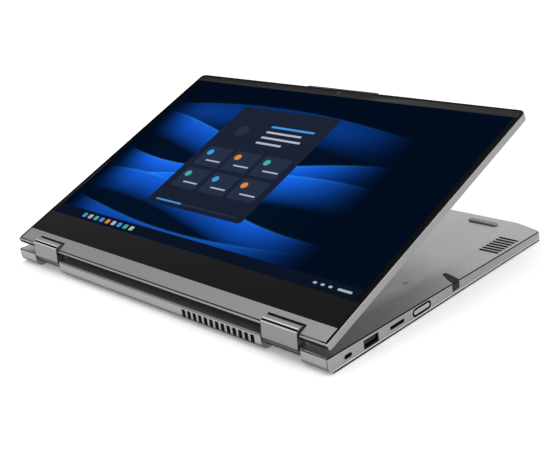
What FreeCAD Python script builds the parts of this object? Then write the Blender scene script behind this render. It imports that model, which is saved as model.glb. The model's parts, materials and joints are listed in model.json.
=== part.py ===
"""A 14 inch convertible laptop standing on its keyboard, with the screen folded round to the front.

Millimetres. X runs along the hinge edge, Y from the hinge edge to the base's free edge, Z up.
The origin is under the middle of the base, on the surface that it stands on.
"""
import FreeCAD, Part
import os
import re
import Sketcher

Vector = FreeCAD.Vector
Rotation = FreeCAD.Rotation

doc = FreeCAD.newDocument("Laptop")
sheet = doc.addObject("Spreadsheet::Sheet", "Sizes")
nodes = []


# Every driving dimension, in millimetres, degrees or a count
SIZES = {
    # Base: the tub that carries the keyboard, and the cover that closes it
    "body_width": 319.4,
    "base_depth": 213.2,
    "case_wall": 1.4,
    "deck_thickness": 1.4,
    "wall_top_rear": 10.5,
    "wall_top_front": 6.3,
    "rear_slope_height": 1.7,
    "rear_slope_depth": 10.5,
    "rear_round": 4.0,
    "rear_ledge_height": 4.4,
    "rear_ledge_depth": 11.0,
    "front_chamfer": 0.8,
    "deck_chamfer": 0.7,
    "front_corner": 2.5,
    "cover_edge": 0.4,
    "cover_inset": 0.5,
    "cover_wall": 1.0,
    "cover_rim": 4.0,
    "plateau_rear": 11.5,
    "plateau_front": 9.6,
    "crease_inset": 17.5,
    "fit_gap": 0.1,
    "cut_margin": 2.0,
    # Hinge: two parallel axes, one in the base and one in the lid
    "lid_opening": 339.7,
    "hinge_inset": 3.55,
    "hinge_height": 7.1,
    "hinge_spacing": 11.0,
    "closed_lean": 16.2,
    "notch_side": 21.1,
    "notch_width": 32.4,
    "notch_depth": 16.0,
    "notch_wall": 1.2,
    "cap_gap": 1.5,
    "cap_flat": 4.2,
    "cap_lid_radius": 4.6,
    "cap_base_radius": 2.3,
    "cap_foot": 3.0,
    "cap_web": 2.8,
    "cap_chamfer_angle": 50.0,
    "cap_groove": 0.6,
    "cap_groove_angle": 42.0,
    "base_shaft_radius": 1.5,
    "lid_shaft_radius": 1.25,
    "shaft_clearance": 0.05,
    "shaft_engagement": 24.0,
    "bracket_length": 12.0,
    "base_barrel_radius": 2.1,
    "lid_barrel_radius": 1.7,
    "bracket_leaf": 1.0,
    "base_leaf_reach": 14.0,
    "lid_leaf_reach": 7.5,
    # Lid: measured up from the lower edge of its hinge rail and out from the glass
    "lid_height": 214.2,
    "lid_thickness": 5.2,
    "lid_axis_up": 1.5,
    "lid_axis_depth": 2.6,
    "lid_lip": 1.65,
    "lid_lip_wall": 1.3,
    "lid_wall": 0.9,
    "lid_rim_depth": 0.3,
    "lid_corner": 5.0,
    "lid_edge_round": 2.0,
    "lid_notch_margin": 0.6,
    "lid_notch_depth": 6.8,
    "gasket_width": 0.8,
    "gasket_proud": 0.35,
    "rail_height": 11.1,
    "rail_thickness": 0.8,
    "rail_rib": 1.5,
    "rail_seam": 0.15,
    "glass_thickness": 1.0,
    "glass_corner": 4.0,
    "panel_thickness": 2.2,
    "panel_margin": 2.5,
    "panel_low": 13.5,
    "panel_top": 7.4,
    "tab_half_width": 34.5,
    "tab_height": 1.2,
    "tab_depth": 3.4,
    "tab_slant": 2.0,
    "camera_width": 40.0,
    "camera_height": 4.2,
    "camera_depth": 2.6,
    "shutter_length": 5.0,
    "shutter_travel": 5.0,
    "shutter_thickness": 1.0,
    "shutter_gap": 0.15,
    # Keyboard and touchpad
    "keyboard_back": 22.0,
    "keyboard_side": 20.2,
    "key_row_pitch": 18.2,
    "key_gap": 3.0,
    "function_key_depth": 8.6,
    "key_recess": 0.2,
    "key_thickness": 1.0,
    "key_clearance": 0.5,
    "key_travel": 1.1,
    "tray_plate": 0.5,
    "tray_margin": 3.0,
    "pad_gap": 12.4,
    "pad_front": 11.2,
    "pad_width": 115.0,
    "pad_thickness": 1.1,
    "pad_recess": 0.15,
    "pad_clearance": 0.4,
    "pad_travel": 0.3,
    "pad_bracket": 0.8,
    # Right side, each place measured from the hinge edge
    "port_height": 5.4,
    "lock_place": 16.4,
    "lock_width": 6.5,
    "lock_height": 2.8,
    "lock_plate": 1.5,
    "lock_margin": 1.6,
    "usb_place": 36.5,
    "usb_width": 13.1,
    "usb_height": 4.6,
    "usb_length": 14.0,
    "port_tongue": 1.6,
    "card_place": 59.7,
    "card_width": 12.8,
    "card_slot": 2.4,
    "card_length": 15.0,
    "shell_wall": 0.5,
    "power_place": 83.0,
    "power_length": 16.2,
    "power_height": 4.2,
    "power_depth": 2.3,
    "power_sink": 0.05,
    "power_gap": 0.3,
    "led_place": 94.4,
    "led_radius": 0.5,
    "side_board_depth": 82.0,
    "side_board_back": 14.5,
    "side_board_width": 14.0,
    "side_board_thickness": 1.0,
    # Left side
    "hdmi_place": 29.0,
    "hdmi_width": 14.2,
    "hdmi_height": 4.5,
    "hdmi_length": 11.5,
    "usbc_place": 48.0,
    "usbc_pitch": 16.0,
    "usbc_width": 8.9,
    "usbc_height": 3.2,
    "usbc_length": 9.0,
    "usbc_tongue": 6.7,
    "jack_place": 84.0,
    "jack_radius": 1.75,
    "jack_length": 14.0,
    "jack_width": 7.0,
    # Stylus and the garage that holds it
    "pen_place": 117.4,
    "pen_height": 5.75,
    "pen_radius": 2.2,
    "pen_length": 112.0,
    "pen_slack": 0.25,
    "pen_tail_length": 12.0,
    "pen_tail_width": 6.8,
    "pen_tail_low": 3.5,
    "pen_tail_high": 7.7,
    "pen_tail_gap": 0.3,
    "pen_nib_length": 5.0,
    "pen_nib_tip": 0.4,
    "pen_button_place": 30.0,
    "pen_button_length": 9.0,
    "pen_button_width": 1.6,
    "pen_button_depth": 0.9,
    "pen_button_proud": 0.12,
    "garage_wall": 0.25,
    "garage_overlap": 3.8,
    "scoop_reach": 12.4,
    "scoop_skew": 4.3,
    "scoop_shoulder": 5.4,
    "scoop_belly": 5.3,
    "scoop_waist": 1.2,
    "scoop_head": 1.7,
    "scoop_round": 1.6,
    # Cooling, boards, battery, speakers
    "vent_count": 13,
    "vent_gap": 5.6,
    "vent_span": 67.0,
    "vent_width": 3.4,
    "vent_low": 3.9,
    "vent_high": 9.4,
    "fan_size": 54.0,
    "fan_top": 9.2,
    "fan_wall": 1.0,
    "fan_pin_radius": 1.2,
    "rotor_radius": 22.0,
    "rotor_hub_radius": 9.0,
    "rotor_gap": 0.6,
    "rotor_blade": 0.8,
    "blade_count": 13,
    "fin_count": 16,
    "fin_thickness": 0.4,
    "fin_top": 8.1,
    "fin_plate": 0.5,
    "pipe_width": 8.0,
    "pipe_thickness": 1.4,
    "chip_size": 26.0,
    "chip_thickness": 1.4,
    "chip_inset": 52.0,
    "chip_place": 60.0,
    "board_thickness": 0.8,
    "board_side": 31.7,
    "board_gap": 8.1,
    "board_back": 24.0,
    "board_depth": 84.0,
    "card_board_thickness": 2.2,
    "storage_size": 80.0,
    "storage_width": 22.0,
    "wireless_size": 30.0,
    "battery_side": 49.7,
    "battery_gap": 14.4,
    "battery_front": 11.2,
    "battery_thickness": 5.0,
    "speaker_width": 30.0,
    "speaker_front": 17.2,
    "speaker_depth": 48.0,
    "speaker_thickness": 4.8,
    "speaker_side_gap": 2.2,
    # Bottom cover details
    "grille_count": 7,
    "grille_front": 47.8,
    "grille_pitch": 3.78,
    "grille_slot": 1.9,
    "grille_length": 12.8,
    "grille_edge": 2.3,
    "grille_angle": 16.0,
    "intake_count": 6,
    "intake_slot": 2.0,
    "intake_pitch": 4.6,
    "intake_length": 44.0,
    "intake_first": 30.0,
    "front_foot_side": 38.7,
    "front_foot_front": 10.8,
    "front_foot_length": 23.4,
    "front_foot_width": 4.6,
    "foot_height": 1.2,
    "foot_sink": 0.5,
    "rear_foot_side": 64.7,
    "rear_foot_place": 24.0,
    "rear_foot_width": 6.0,
    "screw_head_radius": 2.0,
    "screw_head_height": 0.8,
    "screw_shank_radius": 0.8,
    "screw_shank_length": 3.0,
    "screw_recess": 0.1,
    "screw_front_inset": 4.4,
    "screw_front_side": 76.0,
    "screw_rear_inset": 8.0,
    "screw_rear_gap": 16.2,
    "screw_pipe_gap": 20.0,
    "screw_side": 23.3,
    "screw_side_place": 97.0,
    "boss_radius": 2.2,
}

# Key rows in key units, from the user's left to the user's right
FUNCTION_ROW = [1] * 15
NUMBER_ROW = [1] * 13 + [2]
UPPER_ROW = [1.5] + [1] * 12 + [1.5]
HOME_ROW = [1.75] + [1] * 11 + [2.25]
LOWER_ROW = [2.25] + [1] * 10 + [2.75]
BOTTOM_LEFT = [1.25, 1, 1, 1.25]
SPACE_UNITS = 5.5
BOTTOM_RIGHT = [1, 1]
ROW_UNITS = sum(FUNCTION_ROW)

# Sizes and places that follow from the driving ones
FULL_ROWS = 5
DERIVED = {
    "notch_outer": "body_width / 2 - notch_side",
    "notch_inner": "notch_outer - notch_width",
    "key_unit": f"(body_width - 2 * keyboard_side) / {ROW_UNITS}",
    "keys_end": f"keyboard_back + function_key_depth + {FULL_ROWS} * key_row_pitch",
    "pad_back": "keys_end + pad_gap",
    "pad_depth": "base_depth - pad_front - pad_back",
    "battery_width": "body_width - 2 * battery_side",
    "battery_back": "keys_end + battery_gap",
    "battery_depth": "base_depth - battery_front - battery_back",
    "speaker_back": "base_depth - speaker_front - speaker_depth",
    "vent_last": "notch_inner - vent_gap",
    "vent_first": "vent_last - vent_span",
    "board_left": "board_side - body_width / 2",
    "board_right": "(vent_first + vent_last - fan_size) / 2 - board_gap",
    "chip_x": "board_right - chip_inset",
    "grille_first": "base_depth - grille_front",
    "front_foot_x": "body_width / 2 - front_foot_side",
    "front_foot_place": "base_depth - front_foot_front",
    "rear_foot_length": "body_width - 2 * rear_foot_side",
    "screw_front_x": "body_width / 2 - screw_front_side",
    "screw_rear_x": "screw_rear_gap - notch_inner",
    "screw_rear_pitch": "chip_x - screw_pipe_gap - screw_rear_x",
    "screw_side_x": "body_width / 2 - screw_side",
    "panel_high": "lid_height - panel_top",
}

CELLS = {name: str(number) for name, number in SIZES.items()}
CELLS.update({name: f"={formula}" for name, formula in DERIVED.items()})
for row, name in enumerate(CELLS, start=1):
    sheet.set(f"A{row}", name.replace("_", " "))
    sheet.setAlias(f"B{row}", name)
for row, content in enumerate(CELLS.values(), start=1):
    sheet.set(f"B{row}", content)
doc.recompute()

# Places worked out from the driving dimensions, as expressions
HALF = "(body_width / 2)"
REAR = "(-base_depth / 2)"
FRONT = "(base_depth / 2)"
AXIS_Y = f"({REAR} + hinge_inset)"
LEAN = "(closed_lean + lid_opening / 2 - 180)"
TILT = "(360 - lid_opening)"
LID_AXIS_Y = f"({AXIS_Y} + hinge_spacing * sin({LEAN}))"
LID_AXIS_Z = f"(hinge_height + hinge_spacing * cos({LEAN}))"
LID_Y = f"({LID_AXIS_Y} - lid_axis_up * cos({TILT}) - lid_axis_depth * sin({TILT}))"
LID_Z = f"({LID_AXIS_Z} - lid_axis_up * sin({TILT}) + lid_axis_depth * cos({TILT}))"
CAP = ("notch_inner + cap_gap", "notch_outer - cap_gap")
INSIDE = f"({HALF} - case_wall)"
TRAY_TOP = "(key_recess + key_thickness + key_travel + 2 * fit_gap)"
TRAY_BOTTOM = f"({TRAY_TOP} + tray_plate)"
LID_SIDE = f"({HALF} - lid_wall)"
GLASS_SIDE = f"({LID_SIDE} - gasket_width)"
LID_FLOOR = "(lid_wall - lid_thickness)"
GLASS_TOP = "(lid_height - lid_wall - gasket_width)"
BOARD_TOP = f"({TRAY_BOTTOM} + board_thickness)"
FAN_X = "((vent_first + vent_last) / 2)"
FAN_BACK = "notch_depth"
PEN_TAIL_END = f"({HALF} - power_sink)"
PEN_START = f"({PEN_TAIL_END} - pen_tail_length - pen_length)"
CHANNEL = "(pen_radius + pen_slack)"


def place(distance):
    """A distance from the hinge edge, as a Y."""
    return f"({REAR} + {distance})"


def wall_top(distance):
    """Height of the tub's wall at a distance from the hinge edge."""
    return f"(wall_top_rear - (wall_top_rear - wall_top_front) * ({distance}) / base_depth)"


def plateau(distance):
    """Height of the cover's flat middle at a distance from the hinge edge."""
    return f"(plateau_rear - (plateau_rear - plateau_front) * ({distance}) / base_depth)"


def around(middle, width):
    """The span of a width about its middle."""
    return (f"{middle} - ({width}) / 2", f"{middle} + ({width}) / 2")


def mirrored(span):
    """The same span on the other side of the middle."""
    return (f"-({span[1]})", f"-({span[0]})")


def bind(item, prop, expression):
    """Bind a property to an expression in the words of the sheet."""
    def cell(match):
        return f"Sizes.{match[0]}" if match[0] in CELLS else match[0]
    item.setExpression(prop, re.sub(r"[a-z_]+", cell, str(expression)))


def value(expression):
    """The number that an expression has now, for a first drawing or a count."""
    probe = doc.addObject("App::FeaturePython", "Probe")
    probe.addProperty("App::PropertyFloat", "Number")
    bind(probe, "Number", expression)
    doc.recompute([probe])
    number = probe.Number
    doc.removeObject(probe.Name)
    return number


def box(name, x, y, z):
    """A block between two planes each way."""
    item = doc.addObject("Part::Box", name)
    for prop, axis, (low, high) in zip(("Length", "Width", "Height"), "xyz", (x, y, z)):
        bind(item, prop, f"({high}) - ({low})")
        bind(item, f"Placement.Base.{axis}", low)
    return item


def rod(name, along, start, radius, length):
    """A round bar along X, Y or Z from its start point."""
    item = doc.addObject("Part::Cylinder", name)
    turns = {"x": Rotation(Vector(0, 1, 0), 90), "y": Rotation(Vector(1, 0, 0), -90), "z": Rotation()}
    item.Placement = FreeCAD.Placement(Vector(), turns[along])
    bind(item, "Radius", radius)
    bind(item, "Height", length)
    for axis, low in zip("xyz", start):
        bind(item, f"Placement.Base.{axis}", low)
    return item


def fuse(name, parts):
    item = doc.addObject("Part::MultiFuse", name)
    item.Shapes = parts
    return item


def group(name, parts):
    item = doc.addObject("Part::Compound", name)
    item.Links = parts
    return item


def cut(name, base, tools):
    item = doc.addObject("Part::Cut", name)
    item.Base = base
    item.Tool = tools[0] if len(tools) == 1 else group(name + "Tools", tools)
    return item


def common(name, first, second):
    item = doc.addObject("Part::MultiCommon", name)
    item.Shapes = [first, second]
    return item


def polygon(body, plane, points):
    """A closed outline on one of the body's origin planes, each corner bound both ways."""
    sketch = body.newObject("Sketcher::SketchObject", body.Name + "Outline")
    support = [item for item in body.Origin.OriginFeatures if item.Role == plane]
    sketch.AttachmentSupport = [(support[0], "")]
    sketch.MapMode = "FlatFace"
    corners = [Vector(value(across), value(up), 0) for across, up in points]
    for corner, following in zip(corners, corners[1:] + corners[:1]):
        sketch.addGeometry(Part.LineSegment(corner, following))
    for index, corner in enumerate(corners):
        joined = (index + 1) % len(corners)
        sketch.addConstraint(Sketcher.Constraint("Coincident", index, 2, joined, 1))
        for kind, number, expression in zip(("DistanceX", "DistanceY"), corner, points[index]):
            made = sketch.addConstraint(Sketcher.Constraint(kind, -1, 1, index, 1, number))
            bind(sketch, f"Constraints[{made}]", expression)
    return sketch


def prism(name, plane, points, span):
    """An outline on a plane, padded between two distances along the plane's normal."""
    body = doc.addObject("PartDesign::Body", name)
    pad = body.newObject("PartDesign::Pad", name + "Pad")
    pad.Profile = polygon(body, plane, points)
    bind(pad, "Length", f"({span[1]}) - ({span[0]})")
    normal = {"YZ_Plane": "x", "XY_Plane": "z"}[plane]
    bind(body, f"Placement.Base.{normal}", span[0])
    body.Tip = pad
    doc.recompute()
    return body


def round_edges(body, radius, chosen, kind="Fillet"):
    """Round or chamfer the edges of a body's newest feature that a test picks out."""
    doc.recompute()
    tip = body.Tip
    names = []
    for index, edge in enumerate(tip.Shape.Edges):
        middle = body.Placement.multVec(edge.CenterOfMass)
        along = edge.tangentAt(edge.FirstParameter)
        if chosen(middle, along):
            names.append(f"Edge{index + 1}")
    feature = body.newObject(f"PartDesign::{kind}", f"{body.Name}{kind}{len(body.Group)}")
    feature.Base = (tip, names)
    bind(feature, {"Fillet": "Radius", "Chamfer": "Size"}[kind], radius)
    body.Tip = feature
    doc.recompute()


def plate(name, x, y, z, corner, chosen=lambda middle: True):
    """A plate with rounded upright corners."""
    corners = [(x[0], y[0]), (x[1], y[0]), (x[1], y[1]), (x[0], y[1])]
    body = prism(name, "XY_Plane", corners, z)
    round_edges(body, corner, lambda middle, along: abs(along.z) > 0.9 and chosen(middle))
    return body


def side_pill(name, y, z, x):
    """A bar across the wall with fully rounded ends, longer in Y than in Z."""
    radius = f"(({z[1]}) - ({z[0]})) / 2"
    middle = f"(({z[1]}) + ({z[0]})) / 2"
    reach = f"({x[1]}) - ({x[0]})"
    bar = box(name + "Bar", x, (f"{y[0]} + {radius}", f"{y[1]} - {radius}"), z)
    low = rod(name + "Low", "x", (x[0], f"{y[0]} + {radius}", middle), radius, reach)
    high = rod(name + "High", "x", (x[0], f"{y[1]} - {radius}", middle), radius, reach)
    return fuse(name, [bar, low, high])


def pad_pill(name, x, y, z):
    """A foot with fully rounded ends, longer in X than in Y."""
    radius = f"(({y[1]}) - ({y[0]})) / 2"
    middle = f"(({y[1]}) + ({y[0]})) / 2"
    rise = f"({z[1]}) - ({z[0]})"
    bar = box(name + "Bar", (f"{x[0]} + {radius}", f"{x[1]} - {radius}"), y, z)
    low = rod(name + "Low", "z", (f"{x[0]} + {radius}", middle, z[0]), radius, rise)
    high = rod(name + "High", "z", (f"{x[1]} - {radius}", middle, z[0]), radius, rise)
    return fuse(name, [bar, low, high])


def on_lid(item):
    """Turn a piece drawn flat on the lid to the lid's place."""
    item.Placement = FreeCAD.Placement(Vector(), Rotation(Vector(1, 0, 0), 1))
    bind(item, "Placement.Base.y", LID_Y)
    bind(item, "Placement.Base.z", LID_Z)
    bind(item, "Placement.Rotation.Angle", TILT)
    return item


def on_link(item):
    """Turn a piece drawn on an upright hinge link to the link's place."""
    item.Placement = FreeCAD.Placement(Vector(), Rotation(Vector(1, 0, 0), 1))
    bind(item, "Placement.Base.y", AXIS_Y)
    bind(item, "Placement.Base.z", "hinge_height")
    bind(item, "Placement.Rotation.Angle", f"-{LEAN}")
    return item


def node(item, label):
    """Name a finished sub-part."""
    item.Label = label
    nodes.append(item)
    return item


# Key rows
def row_back(row):
    """Where a full key row starts, counted from the number row."""
    return f"(keyboard_back + function_key_depth + key_gap + {row} * key_row_pitch)"


def key_blocks(name, units, first, back, depth, grow, z):
    """One block per key of a row; grow widens it into its hole in the deck."""
    blocks = []
    start = first - ROW_UNITS / 2
    for index, width in enumerate(units):
        x = (f"{start} * key_unit + key_gap / 2 - {grow}",
             f"{start + width} * key_unit - key_gap / 2 + {grow}")
        y = (f"{place(back)} - {grow}", f"{place(back)} + {depth} + {grow}")
        blocks.append(box(f"{name}{index}", x, y, z))
        start += width
    return blocks


FULL_DEPTH = "(key_row_pitch - key_gap)"
HALF_DEPTH = "((key_row_pitch - key_gap - key_gap / 2) / 2)"
BOTTOM_BACK = row_back(4)
LOWER_HALF = f"({BOTTOM_BACK} + {FULL_DEPTH} - {HALF_DEPTH})"
SPACE_START = sum(BOTTOM_LEFT)
RIGHT_START = SPACE_START + SPACE_UNITS
ARROW_START = RIGHT_START + sum(BOTTOM_RIGHT)
KEY_GROUPS = {
    "function_keys": [(FUNCTION_ROW, 0, "keyboard_back", "function_key_depth")],
    "number_keys": [(NUMBER_ROW, 0, row_back(0), FULL_DEPTH)],
    "upper_letter_keys": [(UPPER_ROW, 0, row_back(1), FULL_DEPTH)],
    "home_keys": [(HOME_ROW, 0, row_back(2), FULL_DEPTH)],
    "lower_letter_keys": [(LOWER_ROW, 0, row_back(3), FULL_DEPTH)],
    "modifier_keys": [
        (BOTTOM_LEFT, 0, BOTTOM_BACK, FULL_DEPTH),
        (BOTTOM_RIGHT, RIGHT_START, BOTTOM_BACK, FULL_DEPTH),
    ],
    "space_bar": [([SPACE_UNITS], SPACE_START, BOTTOM_BACK, FULL_DEPTH)],
    "arrow_keys": [
        ([1, 1, 1], ARROW_START, LOWER_HALF, HALF_DEPTH),
        ([1], ARROW_START + 1, BOTTOM_BACK, HALF_DEPTH),
    ],
}


def key_rows():
    """The key groups, and the block that cuts each key's hole in the deck."""
    holes = []
    caps_z = ("key_recess", "key_recess + key_thickness")
    holes_z = ("-cut_margin", "deck_thickness + cut_margin / 4")
    for label, stretches in KEY_GROUPS.items():
        caps = []
        name = label.title().replace("_", "")
        for turn, (units, first, back, depth) in enumerate(stretches):
            caps += key_blocks(f"{name}{turn}Cap", units, first, back, depth, "0", caps_z)
            holes += key_blocks(f"{name}{turn}Hole", units, first, back, depth, "key_clearance", holes_z)
        whole = caps[0] if len(caps) == 1 else group(name, caps)
        node(whole, label)
    return holes


# Base shells
def side_cut(name, y, z, sign):
    """A square hole through one side wall."""
    x = (f"{HALF} - case_wall - cut_margin", f"{HALF} + cut_margin")
    return box(name, x if sign > 0 else mirrored(x), y, z)


def notch(name, sign, grow, depth):
    """The gap in the rear edge where a hinge cap swings."""
    x = (f"notch_inner - {grow}", f"notch_outer + {grow}")
    y = (f"{REAR} - cut_margin", place(f"{depth} + {grow}"))
    return box(name, x if sign > 0 else mirrored(x), y, ("-cut_margin", "plateau_rear + cut_margin"))


def boss_places():
    """Where screws pass the cover into bosses on the deck: x, and distance from the hinge edge."""
    front = "(base_depth - screw_front_inset)"
    fronts = [("-screw_front_x", front), ("0", front), ("screw_front_x", front)]
    second = "(screw_rear_x + screw_rear_pitch)"
    rears = [("screw_rear_x", "screw_rear_inset"), (second, "screw_rear_inset")]
    return fronts + rears


def deck_frame(key_holes):
    outline = [
        (REAR, "rear_slope_height"),
        (place("rear_slope_depth"), "0"),
        (f"{FRONT} - front_chamfer", "0"),
        (FRONT, "front_chamfer"),
        (FRONT, "wall_top_front"),
        (REAR, "wall_top_rear"),
    ]
    tub = prism("Tub", "YZ_Plane", outline, (f"-{HALF}", HALF))
    front_y = value(FRONT)
    half = value(HALF)
    low = value("front_chamfer")
    lip = value("rear_slope_height")
    rear_y = value(REAR)

    def front_upright(middle, along):
        return middle.y > front_y - low / 2 and abs(along.z) > 0.9

    def rear_lip(middle, along):
        return abs(middle.y - rear_y) < low and abs(middle.z - lip) < low and abs(along.x) > 0.9

    def side_sill(middle, along):
        return half - abs(middle.x) < low / 2 and abs(middle.z) < low / 2 and abs(along.y) > 0.99

    round_edges(tub, "front_corner", front_upright)
    round_edges(tub, "rear_round", rear_lip)
    round_edges(tub, "deck_chamfer", side_sill, "Chamfer")
    sides = (f"-{INSIDE}", INSIDE)
    sky = "plateau_rear + cut_margin"
    main_y = (place("rear_ledge_depth"), f"{FRONT} - case_wall")
    main = box("MainHollow", sides, main_y, ("deck_thickness", sky))
    rear_hollow = (place("case_wall"), place("rear_ledge_depth"))
    rear = box("RearHollow", sides, rear_hollow, ("rear_ledge_height", sky))
    blocks = [notch(f"NotchBlock{sign + 1}", sign, "notch_wall", "notch_depth") for sign in (-1, 1)]
    bosses = []
    for index, (x, distance) in enumerate(boss_places()):
        top = f"{wall_top(distance)} - fit_gap"
        foot = (x, place(distance), "deck_thickness / 2")
        bosses.append(rod(f"Boss{index}", "z", foot, "boss_radius", f"{top} - deck_thickness / 2"))
    hollow = cut("Hollow", fuse("RoughHollow", [main, rear]), blocks + bosses)
    shell = cut("HollowTub", tub, [hollow])
    openings = [notch(f"Notch{sign + 1}", sign, "0", "notch_depth") for sign in (-1, 1)]
    for index, (x, distance) in enumerate(boss_places()):
        low_end = f"{plateau(distance)} - screw_recess - screw_head_height - screw_shank_length"
        foot = (x, place(distance), low_end)
        openings.append(rod(f"BossHole{index}", "z", foot, "screw_shank_radius", "screw_shank_length"))
    for sign in (-1, 1):
        x = ("notch_outer - cut_margin", "notch_outer + notch_wall + fit_gap")
        start = x[0] if sign > 0 else f"-({x[1]})"
        wall_hole = (start, AXIS_Y, "hinge_height")
        reach = f"{x[1]} - ({x[0]})"
        openings.append(rod(f"ShaftHole{sign + 1}", "x", wall_hole, "base_shaft_radius", reach))
    step = "((vent_last - vent_first - vent_width) / (vent_count - 1))"
    for index in range(SIZES["vent_count"]):
        x = f"vent_first + {index} * {step}"
        rear_wall = (f"{REAR} - cut_margin", place("case_wall + fit_gap"))
        openings.append(box(f"Vent{index}", (x, f"{x} + vent_width"), rear_wall, ("vent_low", "vent_high")))
    pad = ("pad_width / 2 + pad_clearance", f"{place('pad_back')} - pad_clearance")
    pad_end = f"{place('pad_back + pad_depth')} + pad_clearance"
    through = ("-cut_margin", "deck_thickness + cut_margin / 4")
    openings.append(box("PadHole", (f"-({pad[0]})", pad[0]), (pad[1], pad_end), through))
    wall_x = (f"{HALF} - case_wall - cut_margin", f"{HALF} + cut_margin")
    lock = around(place("lock_place"), "lock_width"), around("port_height", "lock_height")
    openings.append(side_pill("LockHole", *lock, wall_x))
    power = around(place("power_place"), "power_length + 2 * power_gap")
    power_z = around("port_height", "power_height + 2 * power_gap")
    openings.append(side_pill("PowerHole", power, power_z, wall_x))
    led = (wall_x[0], place("led_place"), "port_height")
    openings.append(rod("LedHole", "x", led, "led_radius", f"{wall_x[1]} - ({wall_x[0]})"))
    usb_z = ("deck_thickness + side_board_thickness", "port_height + usb_height / 2 + shell_wall")
    usb = around(place("usb_place"), "usb_width"), usb_z
    openings.append(side_cut("UsbHole", *usb, 1))
    card = around(place("card_place"), "card_width"), around("port_height", "card_slot")
    openings.append(side_cut("CardHole", *card, 1))
    tail = around(place("pen_place"), "pen_tail_width + 2 * pen_tail_gap")
    tail_z = ("pen_tail_low - pen_tail_gap", "wall_top_rear + cut_margin")
    openings.append(side_cut("PenHole", tail, tail_z, 1))
    hdmi = around(place("hdmi_place"), "hdmi_width"), around("port_height", "hdmi_height")
    openings.append(side_cut("HdmiHole", *hdmi, -1))
    for index in range(2):
        middle = place(f"usbc_place + {index} * usbc_pitch")
        usbc = around(middle, "usbc_width"), around("port_height", "usbc_height")
        openings.append(side_pill(f"UsbcHole{index}", *usbc, mirrored(wall_x)))
    jack = (f"-({wall_x[1]})", place("jack_place"), "port_height")
    openings.append(rod("JackHole", "x", jack, "jack_radius", f"{wall_x[1]} - ({wall_x[0]})"))
    pierced = cut("PiercedTub", shell, openings)
    return node(cut("DeckFrame", pierced, [fuse("KeyHoles", key_holes)]), "deck_frame")


def cover_form(name, drop, rim):
    """The cover's faceted form: a flat middle and two flanks that fall to the side edges.

    drop lowers its top, and rim draws its sides in; a lowered form also starts lower.
    """
    sections = []
    for end, (y, top, wall) in enumerate(((REAR, "plateau_rear", "wall_top_rear"),
                                          (FRONT, "plateau_front", "wall_top_front"))):
        side = f"({HALF} - {rim})"
        crease = f"({HALF} - crease_inset)"
        slope = f"(({top}) - ({wall} + cover_edge)) / crease_inset"
        edge = f"({wall} + cover_edge + {slope} * ({rim}) - {drop})"
        foot = f"({wall} - 2 * {drop})"
        points = [
            (f"-{side}", foot),
            (side, foot),
            (side, edge),
            (crease, f"{top} - {drop}"),
            (f"-{crease}", f"{top} - {drop}"),
            (f"-{side}", edge),
        ]
        body = doc.addObject("PartDesign::Body", f"{name}Section{end}")
        sketch = polygon(body, "XZ_Plane", points)
        bind(sketch, "AttachmentOffset.Base.z", f"-({y})")
        sections.append(sketch)
    doc.recompute()
    form = doc.addObject("Part::Loft", name)
    form.Sections = sections
    form.Solid = True
    form.Ruled = True
    return form


def scoop(name, span):
    """The thumb scoop over the stylus: an outline seen from above, with a rounded head."""
    across = f"({HALF} + cut_margin)"
    middle = place("pen_place")
    half_width = "(pen_tail_width / 2 + pen_tail_gap)"
    outline = [
        (across, f"{middle} - {half_width}"),
        (across, f"{middle} + {half_width}"),
        (f"{HALF} - scoop_shoulder", f"{middle} + scoop_belly"),
        (f"{HALF} - scoop_reach", f"{middle} + scoop_skew + scoop_head"),
        (f"{HALF} - scoop_reach", f"{middle} + scoop_skew - scoop_head"),
        (f"{HALF} - scoop_shoulder", f"{middle} - scoop_waist"),
    ]
    body = prism(name, "XY_Plane", outline, span)
    head = value(f"{HALF} - (scoop_reach + scoop_shoulder) / 2")
    round_edges(body, "scoop_round", lambda middle, along: abs(along.z) > 0.9 and middle.x < head)
    return body


def grille_slot(name, sign, index):
    """A slot over a speaker, turned so that its outer end lies nearer the free edge."""
    half_length = "grille_length / 2"
    sky = ("0", "plateau_rear + cut_margin")
    slot = pad_pill(name + "Slot", (f"-{half_length}", half_length), around("0", "grille_slot"), sky)
    turned = group(name, [slot])
    turned.Placement = FreeCAD.Placement(Vector(), Rotation(Vector(0, 0, 1), 1))
    bind(turned, "Placement.Base.x", f"{sign} * ({HALF} - grille_edge - {half_length})")
    bind(turned, "Placement.Base.y", place(f"grille_first + {index} * grille_pitch"))
    bind(turned, "Placement.Rotation.Angle", f"{sign} * grille_angle")
    return turned


def screw_places():
    """Every cover screw: x, and distance from the hinge edge."""
    sides = [("-screw_side_x", "screw_side_place"), ("screw_side_x", "screw_side_place")]
    return boss_places() + sides


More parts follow.
